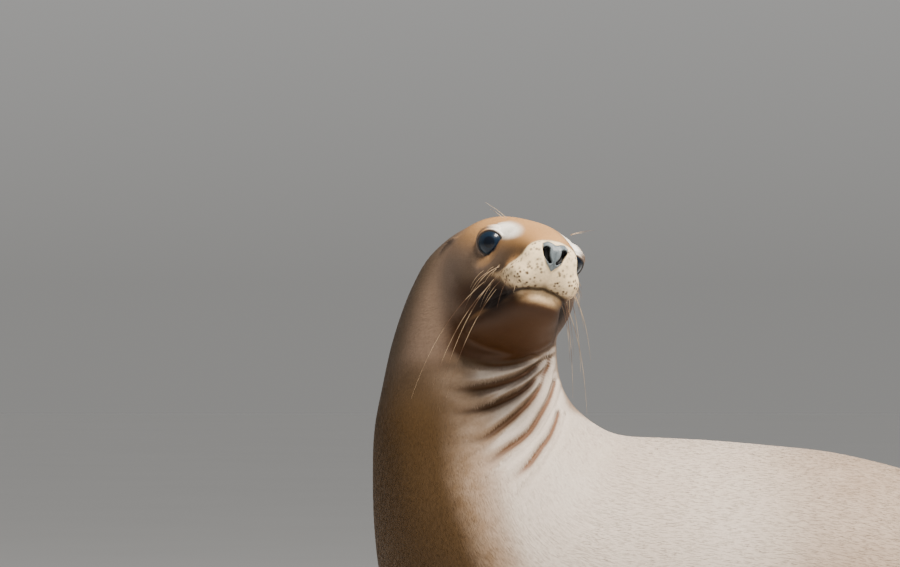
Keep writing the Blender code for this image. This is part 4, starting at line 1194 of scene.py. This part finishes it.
def coat_tree():
    """Grows one piece of the coat on its part of the hide."""
    tree = bpy.data.node_groups.new("flat_coat", "GeometryNodeTree")
    for name, kind in (("Hide", "Geometry"), ("Tuft", "Object"), ("Region", "Int"), ("Seed", "Int"),
                       ("Slender", "Float"), ("Least width", "Float"), ("Lift", "Float"),
                       ("Material", "Material")):
        tree.interface.new_socket(name, in_out="INPUT", socket_type="NodeSocket" + kind)
    tree.interface.new_socket("Coat", in_out="OUTPUT", socket_type="NodeSocketGeometry")
    given = node(tree, "NodeGroupInput").outputs
    elsewhere = node(tree, "FunctionNodeCompare", data_type="INT", operation="NOT_EQUAL",
                     _2=named(tree, "region", "INT"), _3=given["Region"])
    ground = node(tree, "GeometryNodeDeleteGeometry", domain="FACE", _Geometry=given["Hide"],
                  _Selection=elsewhere.outputs[0])
    roots = node(tree, "GeometryNodeDistributePointsOnFaces", _Mesh=ground.outputs[0],
                 _Density=named(tree, "tufts"), _Seed=given["Seed"])
    facing = node(tree, "FunctionNodeAxesToRotation", primary_axis="Z", secondary_axis="X",
                  _0=roots.outputs["Normal"], _1=named(tree, "lie", "FLOAT_VECTOR"))

    def chance(low, high, offset):
        made = node(tree, "FunctionNodeRandomValue", data_type="FLOAT")
        made.inputs[2].default_value, made.inputs[3].default_value = low, high
        tree.links.new(calculated(tree, "ADD", given["Seed"], offset), made.inputs["Seed"])
        return made.outputs[1]

    lift = product(tree, chance(-1.5, -0.5, 1), given["Lift"])
    swing = node(tree, "ShaderNodeCombineXYZ", _X=chance(-0.08, 0.08, 2), _Y=lift, _Z=chance(-0.14, 0.14, 3))
    to_turn = node(tree, "FunctionNodeEulerToRotation", _0=swing.outputs[0])
    turned = node(tree, "FunctionNodeRotateRotation", rotation_space="LOCAL", _0=facing.outputs[0],
                  _1=to_turn.outputs[0])
    length = product(tree, named(tree, "hair"), chance(0.75, 1.2, 4))
    width = calculated(tree, "MULTIPLY_ADD", length, given["Slender"], given["Least width"])
    size = node(tree, "ShaderNodeCombineXYZ", _X=length, _Y=width,
                _Z=product(tree, width, TUFT_FLATNESS))
    shape = node(tree, "GeometryNodeObjectInfo", _Object=given["Tuft"])
    locks = node(tree, "GeometryNodeInstanceOnPoints", _Points=roots.outputs["Points"],
                 _Instance=shape.outputs["Geometry"], _Rotation=turned.outputs[0], _Scale=size.outputs[0])
    real = node(tree, "GeometryNodeRealizeInstances", _Geometry=locks.outputs[0])
    patch = node(tree, "ShaderNodeVectorMath", operation="ADD", _0=named(tree, "unwrap", "FLOAT_VECTOR"),
                 _1=named(tree, "patch", "FLOAT_VECTOR"))
    mapped = node(tree, "GeometryNodeStoreNamedAttribute", data_type="FLOAT2", domain="CORNER",
                  _Geometry=real.outputs[0], _Name="OFBake", _Value=patch.outputs[0])
    soft = node(tree, "GeometryNodeSetShadeSmooth", _Geometry=mapped.outputs[0])
    dressed = node(tree, "GeometryNodeSetMaterial", _Geometry=soft.outputs[0], _Material=given["Material"])
    node(tree, "NodeGroupOutput", _Coat=dressed.outputs[0])
    return tree


def coat_material():
    """Hair: each lock a shade of its own, with painted shade darkening it towards the root."""
    made, tree, shader = new_material("coat_hair")
    colours = marked(tree)
    reach = node(tree, "ShaderNodeAttribute", attribute_name="along").outputs["Fac"]
    each = noise(tree, 330.0, 1.0, 0.5)
    # Painted shade: each lock is darker towards its root.
    shade = calculated(tree, "MULTIPLY_ADD", each, 0.35, calculated(tree, "MULTIPLY_ADD", reach, 0.18, 0.74))
    tone = node(tree, "ShaderNodeCombineColor", _0=shade, _1=shade, _2=shade)
    colour = blended(tree, 1.0, colours["Colour"], tone.outputs[0], "MULTIPLY")
    feed(tree, shader, Base_Color=colour, Roughness=colours["Roughness"], Specular_IOR_Level=DRY_SHINE)
    return made


def grown_mesh(name, base, tree, **inputs):
    """The plain mesh that a tree makes from a base object."""
    modifier = base.modifiers.new("growth", "NODES")
    modifier.node_group = tree
    keys = {item.name: item.identifier for item in tree.interface.items_tree if item.in_out == "INPUT"}
    for label, value in inputs.items():
        modifier[keys[label.replace("_", " ")]] = value
    graph = bpy.context.evaluated_depsgraph_get()
    mesh = bpy.data.meshes.new_from_object(base.evaluated_get(graph))
    base.modifiers.remove(modifier)
    mesh.name = name
    return mesh


COAT_TREE, COAT_HAIR, TUFT = coat_tree(), coat_material(), tuft_shape()
ground = new_object("ground", hide.copy())
for number, name in enumerate(COATS):
    mesh = grown_mesh(name, ground, COAT_TREE, Tuft=TUFT, Region=number, Seed=COAT_SEED + number,
                      Slender=TUFT_SLENDER, Least_width=TUFT_LEAST, Lift=TUFT_LIFT, Material=COAT_HAIR)
    for spare in ("hair", "tufts", "lie", "unwrap", "grain", "region", "patch"):
        if spare in mesh.attributes:
            mesh.attributes.remove(mesh.attributes[spare])
    piece = new_object(name, mesh)
    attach(piece, "root")
bpy.data.objects.remove(ground, do_unlink=True)
bpy.data.objects.remove(TUFT, do_unlink=True)


# --- Eyes ---------------------------------------------------------------------------------
# Large wet eyeballs, nearly black with a painted blue sheen: a dark iris round a wide pupil, under a
# clear bulging cornea. A thin line of tears lies where each meets its lids.
IRIS_ANGLE = 38                       # degrees from the line of sight to the iris's edge
PUPIL_ANGLE = 19
CORNEA_RISE = 0.0011
TEAR_RADIUS = 0.0004


def eyeball(side, word):
    """A ball with its pole on the line of sight, raised there into the cornea."""
    bm = bmesh.new()
    bmesh.ops.create_uvsphere(bm, u_segments=64, v_segments=48, radius=EYE_RADIUS)
    turn = Vector(eye_frame(side)[1]).to_track_quat("Z", "Y")
    for vert in bm.verts:
        away = math.degrees(vert.co.angle(Vector((0, 0, 1))))
        rise = CORNEA_RISE * float(1 - smooth_step(8, IRIS_ANGLE + 6, away))
        inside = turn @ (vert.co.normalized() * (EYE_RADIUS + rise))
        vert.co = Vector(from_head(np.array(inside) + [0, side * EYE_SPREAD, 0]))
    return closed_mesh("eyeball_" + word, bm)


def eye_material():
    """A near-black iris and pupil with a painted blue sheen, bluest at the iris's rim, all under a wet clear
    surface.
    """
    made, tree, shader = new_material("wet_eye")
    from_sight = node(tree, "ShaderNodeAttribute", attribute_name="from_sight").outputs["Fac"]
    fibres = noise(tree, 900.0, 3.0, 0.7)
    # The blue in these colours is a painted sheen, and the lighter ring beyond the iris's edge is a painted
    # blue rim sheen.
    iris = blended(tree, fibres, (0.003, 0.008, 0.018), (0.006, 0.016, 0.032))
    edge = node(tree, "ShaderNodeMapRange", _0=from_sight, _1=PUPIL_ANGLE - 1.5, _2=PUPIL_ANGLE + 1.5)
    painted_rim_sheen = node(tree, "ShaderNodeMapRange", _0=from_sight, _1=IRIS_ANGLE - 5.0, _2=IRIS_ANGLE + 2.0)
    colour = blended(tree, edge.outputs[0], (0.002, 0.004, 0.009), iris)
    colour = blended(tree, painted_rim_sheen.outputs[0], colour, (0.008, 0.020, 0.036))
    feed(tree, shader, Base_Color=colour, Roughness=0.30, Specular_IOR_Level=0.1,
         Coat_Weight=0.40, Coat_Roughness=0.03, Coat_IOR=1.38)
    return made


def tear_material():
    """A wet grey film."""
    made, tree, shader = new_material("tear_line")
    tint = blended(tree, noise(tree, 500.0), (0.016, 0.024, 0.032), (0.026, 0.036, 0.046))
    feed(tree, shader, Base_Color=tint, Roughness=0.25)
    return made


def tear_line(side, word):
    """A bead along the lids' rim, resting on the eyeball."""
    centre, aim, front, above = eye_frame(side)
    round_eye = np.radians(np.arange(0, 360, 3.0))
    opening = lid_opening(np.degrees(round_eye), side) - 1.2
    spots = np.array([aim * math.cos(a) + (front * math.cos(t) + above * math.sin(t)) * math.sin(a)
                      for a, t in zip(np.radians(opening), round_eye)])
    middle = centre + spots * (EYE_RADIUS + 0.0001)
    ahead = np.roll(middle, -1, axis=0) - np.roll(middle, 1, axis=0)
    ahead /= np.linalg.norm(ahead, axis=1)[:, None]
    across = np.cross(ahead, spots)
    sides = np.linspace(0, 2 * math.pi, 8, endpoint=False)
    points = np.array([middle + TEAR_RADIUS * (across * math.cos(a) + spots * math.sin(a))
                       for a in sides]).transpose(1, 0, 2)
    count, round_count = len(middle), len(sides)
    faces = [(r * round_count + k, r * round_count + (k + 1) % round_count,
              (r + 1) % count * round_count + (k + 1) % round_count, (r + 1) % count * round_count + k)
             for r in range(count) for k in range(round_count)]
    mesh = bpy.data.meshes.new("tear_line")
    mesh.from_pydata(from_head(points.reshape(-1, 3)).tolist(), [], faces)
    bm = bmesh.new()
    bm.from_mesh(mesh)
    return closed_mesh("tear_line_" + word, bm)


def placed(name, mesh, material):
    """A finished piece on the still body, with its material."""
    mesh.materials.clear()
    mesh.materials.append(material)
    mesh.polygons.foreach_set("use_smooth", [True] * len(mesh.polygons))
    piece = new_object(name, mesh)
    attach(piece, "root")
    return piece


WET_EYE, TEARS = eye_material(), tear_material()
for side, word in SIDES.items():
    ball_mesh = eyeball(side, word)
    out = to_head(mesh_points(ball_mesh)) - [0, side * EYE_SPREAD, 0]
    out /= np.linalg.norm(out, axis=1)[:, None]
    float_attribute(ball_mesh, "from_sight", np.degrees(np.arccos(np.clip(out @ eye_frame(side)[1], -1, 1))))
    piece = placed("eyeball_" + word, ball_mesh, WET_EYE)
    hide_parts("eye_" + word)
    placed("tear_line_" + word, tear_line(side, word), TEARS)


# --- Claws --------------------------------------------------------------------------------
# The middle three toes of each hind flipper have a grooming nail of dark horn, set well back
# from the toe's end in a fold of skin.
CLAW_AT = 0.186
CLAW_LENGTH = 0.019
CLAW_STATIONS = ((0.00, 0.0034, 0.0022, 0.0085), (0.35, 0.0036, 0.0026, 0.0110),
                 (0.70, 0.0026, 0.0020, 0.0118), (0.92, 0.0012, 0.0010, 0.0112))


def claw(side, spread):
    """A nail, arched across and drawn out to a blunt point."""
    root, along, length = toe_line(side, spread)
    broad = np.cross((0, 0, 1), along)
    turn = np.linspace(0, 2 * math.pi, 20, endpoint=False)
    made = []
    for part, wide, thick, rise in between_stations(CLAW_STATIONS, 18):
        centre = root + along * (CLAW_AT + CLAW_LENGTH * part)
        centre[2] = rise
        made.append(centre + np.cos(turn)[:, None] * wide * broad
                    + (np.sin(turn) * thick)[:, None] * np.array([0, 0, 1]))
    ends = [root + along * (CLAW_AT + CLAW_LENGTH * part) for part in (-0.15, 1.0)]
    ends[0][2], ends[1][2] = 0.0060, 0.0104
    return loft("claw", made, *ends, BODY)


def claw_material():
    """Dull horn, ringed with growth."""
    made, tree, shader = new_material("claw_horn")
    at = node(tree, "ShaderNodeMapping", _Vector=node(tree, "ShaderNodeTexCoord").outputs["Object"],
              _Rotation=(0.0, 0.0, TOE_AIM), _Scale=(1600.0, 200.0, 200.0)).outputs[0]
    rings = noise(tree, 1.0, 2.0, 0.5, at)
    horn = blended(tree, rings, (0.050, 0.036, 0.026), (0.150, 0.115, 0.085))
    relief = node(tree, "ShaderNodeBump", _Strength=0.4, _Distance=0.0003, _Height=rings)
    feed(tree, shader, Base_Color=horn, Normal=relief.outputs[0], Roughness=0.42)
    return made


CLAW_HORN = claw_material()
for side, word in SIDES.items():
    for number, spread in enumerate((-0.5, 0, 0.5), 1):
        piece = placed(f"nail_{word}_{number}", claw(side, spread), CLAW_HORN)
        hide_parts(f"claw_{word}_{number}")


# --- Whiskers -----------------------------------------------------------------------------
# Stiff tapering hairs, one from about half of the muzzle's follicles and a few over each eye. They are
# short at the nose and long by the corner of the mouth, where they droop under their weight.
WHISKER_ROOT = 0.00036
WHISKER_TIP = 0.00006
WHISKER_STEPS = 16
WHISKER_SIDES = 5
WHISKER_SEED = 5
BROW_WHISKERS = ((0.012, 0.036, 0.030, 0.024), (0.004, 0.038, 0.031, 0.014))


def drooping(start, heading, length, droop, sweep):
    """Points along a hair that starts in one direction and bends down and sideways."""
    points, at, way = [start], np.array(start, float), np.array(heading, float)
    for _ in range(WHISKER_STEPS):
        way = way / np.linalg.norm(way)
        at = at + way * length / WHISKER_STEPS
        points.append(at.copy())
        way = way + np.array([0, 0, -droop / WHISKER_STEPS]) + np.array(sweep) / WHISKER_STEPS
    return points


def whisker_lines():
    """The middle line of every whisker in the model's frame."""
    chance = np.random.default_rng(WHISKER_SEED)
    lines = []
    for column, row, *spot in follicles[:, 1:]:
        start, out = from_head(spot[:3]), HEAD_TURN @ np.array(spot[3:6])
        back = -HEAD_TURN[:, 0]
        length = (0.006 + 0.0145 * column**1.25) * chance.uniform(0.55, 1.15) * min(0.2 + 0.2 * row, 1)
        if chance.random() < 0.45 or length < 0.012:
            continue
        heading = out * 0.8 + back * (0.20 + 0.12 * column) + np.array([0, 0, -0.45 - 0.06 * row])
        heading = heading + chance.normal(0, 0.12, 3)
        lines.append(drooping(start - out * 0.001, heading, length, 1.2, back * 0.35))
    for side in SIDES:
        for forward, left, up, length in BROW_WHISKERS:
            start = from_head([forward, side * left, up])
            heading = HEAD_TURN @ np.array([-0.10, 0.90 * side, 0.55])
            lines.append(drooping(start - np.array([0, 0, 0.004]), heading, length + 0.004, 0.3, (0, 0, 0)))
    return lines


def whisker_tree():
    """Lines of points made into tapering round hairs."""
    tree = bpy.data.node_groups.new("tapering_hairs", "GeometryNodeTree")
    for name, kind in (("Lines", "Geometry"), ("Root radius", "Float"), ("Tip radius", "Float"),
                       ("Sides", "Int"), ("Material", "Material")):
        tree.interface.new_socket(name, in_out="INPUT", socket_type="NodeSocket" + kind)
    tree.interface.new_socket("Hairs", in_out="OUTPUT", socket_type="NodeSocketGeometry")
    given = node(tree, "NodeGroupInput").outputs
    curves = node(tree, "GeometryNodeMeshToCurve", _Mesh=given["Lines"])
    part = node(tree, "GeometryNodeSplineParameter").outputs["Factor"]
    radius = node(tree, "ShaderNodeMapRange", _0=part, _1=0.0, _2=1.0, _3=given["Root radius"],
                  _4=given["Tip radius"])
    thick = node(tree, "GeometryNodeSetCurveRadius", _Curve=curves.outputs[0], _Radius=radius.outputs[0])
    outline = node(tree, "GeometryNodeCurvePrimitiveCircle", _Resolution=given["Sides"], _Radius=1.0)
    hairs = node(tree, "GeometryNodeCurveToMesh", _Curve=thick.outputs[0], _Profile_Curve=outline.outputs[0],
                 _Fill_Caps=True)
    if "Scale" in hairs.inputs:
        tree.links.new(radius.outputs[0], hairs.inputs["Scale"])
    real = node(tree, "GeometryNodeRealizeInstances", _Geometry=hairs.outputs[0])
    soft = node(tree, "GeometryNodeSetShadeSmooth", _Geometry=real.outputs[0])
    dressed = node(tree, "GeometryNodeSetMaterial", _Geometry=soft.outputs[0], _Material=given["Material"])
    node(tree, "NodeGroupOutput", _Hairs=dressed.outputs[0])
    return tree


def whisker_material():
    """Horn-coloured hairs, some pale and some brown."""
    made, tree, shader = new_material("whisker_hair")
    each = noise(tree, 45.0, 1.0, 0.4)
    tint = node(tree, "ShaderNodeMapRange", _0=each, _1=0.42, _2=0.58)
    colour = blended(tree, tint.outputs[0], (0.110, 0.050, 0.020), (0.500, 0.360, 0.220))
    feed(tree, shader, Base_Color=colour, Roughness=0.32)
    return made


lines = whisker_lines()
step = WHISKER_STEPS + 1
spine = bpy.data.meshes.new("whisker_lines")
spine.from_pydata([tuple(p) for line in lines for p in line],
                  [(n * step + k, n * step + k + 1)
                   for n in range(len(lines)) for k in range(WHISKER_STEPS)], [])
base = new_object("whisker_lines", spine)
WHISKER_HAIR = whisker_material()
whiskers = grown_mesh("whiskers", base, whisker_tree(), Root_radius=WHISKER_ROOT, Tip_radius=WHISKER_TIP,
                      Sides=WHISKER_SIDES, Material=WHISKER_HAIR)
bpy.data.objects.remove(base, do_unlink=True)
placed("whiskers", whiskers, WHISKER_HAIR)


# --- Floor, backdrop, light and camera ----------------------------------------------------
# A pale floor of plain paper, a large soft light from the upper right in front, a weaker one
# from behind on the right, and a pale sky all round.
FLOOR_SIZE = 60.0
FLOOR_DROP = 0.0004
VIEW_WIDTH = 0.945                    # at the face's distance
CAMERA_FAR = 9.0
CAMERA_AT = (-0.0803, 0.5917)         # x from under the eyes, and height
KEY_POWER, RIM_POWER, SKY_STRENGTH = 470.0, 50.0, 0.40


def paper_material():
    made, tree, shader = new_material("pale_paper")
    tint = blended(tree, noise(tree, 1.5, 4.0), (0.62, 0.615, 0.605), (0.66, 0.655, 0.645))
    feed(tree, shader, Base_Color=tint, Roughness=0.9)
    return made


floor_mesh = bpy.data.meshes.new("floor")
half = FLOOR_SIZE / 2
floor_corners = ((-half, -half), (half, -half), (half, half), (-half, half))
floor_mesh.from_pydata([(x, y, -FLOOR_DROP) for x, y in floor_corners], [], [(0, 1, 2, 3)])
floor_mesh.materials.append(paper_material())
new_object("floor", floor_mesh)


def soft_light(name, place, target, power, size, colour):
    """A round lamp aimed at a point."""
    data = bpy.data.lights.new(name, "AREA")
    data.shape, data.energy, data.size, data.color = "DISK", power, size, colour
    made = bpy.data.objects.new(name, data)
    made.location = place
    made.rotation_euler = (Vector(target) - Vector(place)).to_track_quat("-Z", "Y").to_euler()
    bpy.context.scene.collection.objects.link(made)


FACE = Vector(EYES_MIDDLE)
soft_light("key", FACE + Vector((1.15, -1.42, 3.05)), FACE, KEY_POWER, 1.3, (1.0, 0.94, 0.85))
soft_light("rim", FACE + Vector((2.4, 1.6, 1.4)), FACE, RIM_POWER, 1.2, (1.0, 0.97, 0.93))
world = bpy.data.worlds.new("studio")
world.use_nodes = True
sky = world.node_tree
background = sky.nodes["Background"]
sight = node(sky, "ShaderNodeTexCoord").outputs["Generated"]
height = node(sky, "ShaderNodeSeparateXYZ", _0=sight).outputs["Z"]
rising = node(sky, "ShaderNodeMapRange", _0=height, _1=0.0, _2=0.05)
pale_sky = blended(sky, rising.outputs[0], (0.670, 0.660, 0.640), (1.0, 0.99, 0.97))
sky.links.new(pale_sky, background.inputs["Color"])
background.inputs["Strength"].default_value = SKY_STRENGTH
bpy.context.scene.world = world

camera = bpy.data.cameras.new("camera")
camera.lens = camera.sensor_width * CAMERA_FAR / VIEW_WIDTH
camera.clip_end = 200.0
camera_object = bpy.data.objects.new("camera", camera)
camera_object.location = SHIFT + Vector((CAMERA_AT[0], -CAMERA_FAR, CAMERA_AT[1]))
camera_object.rotation_euler = (math.pi / 2, 0, 0)
bpy.context.scene.collection.objects.link(camera_object)
bpy.context.scene.camera = camera_object
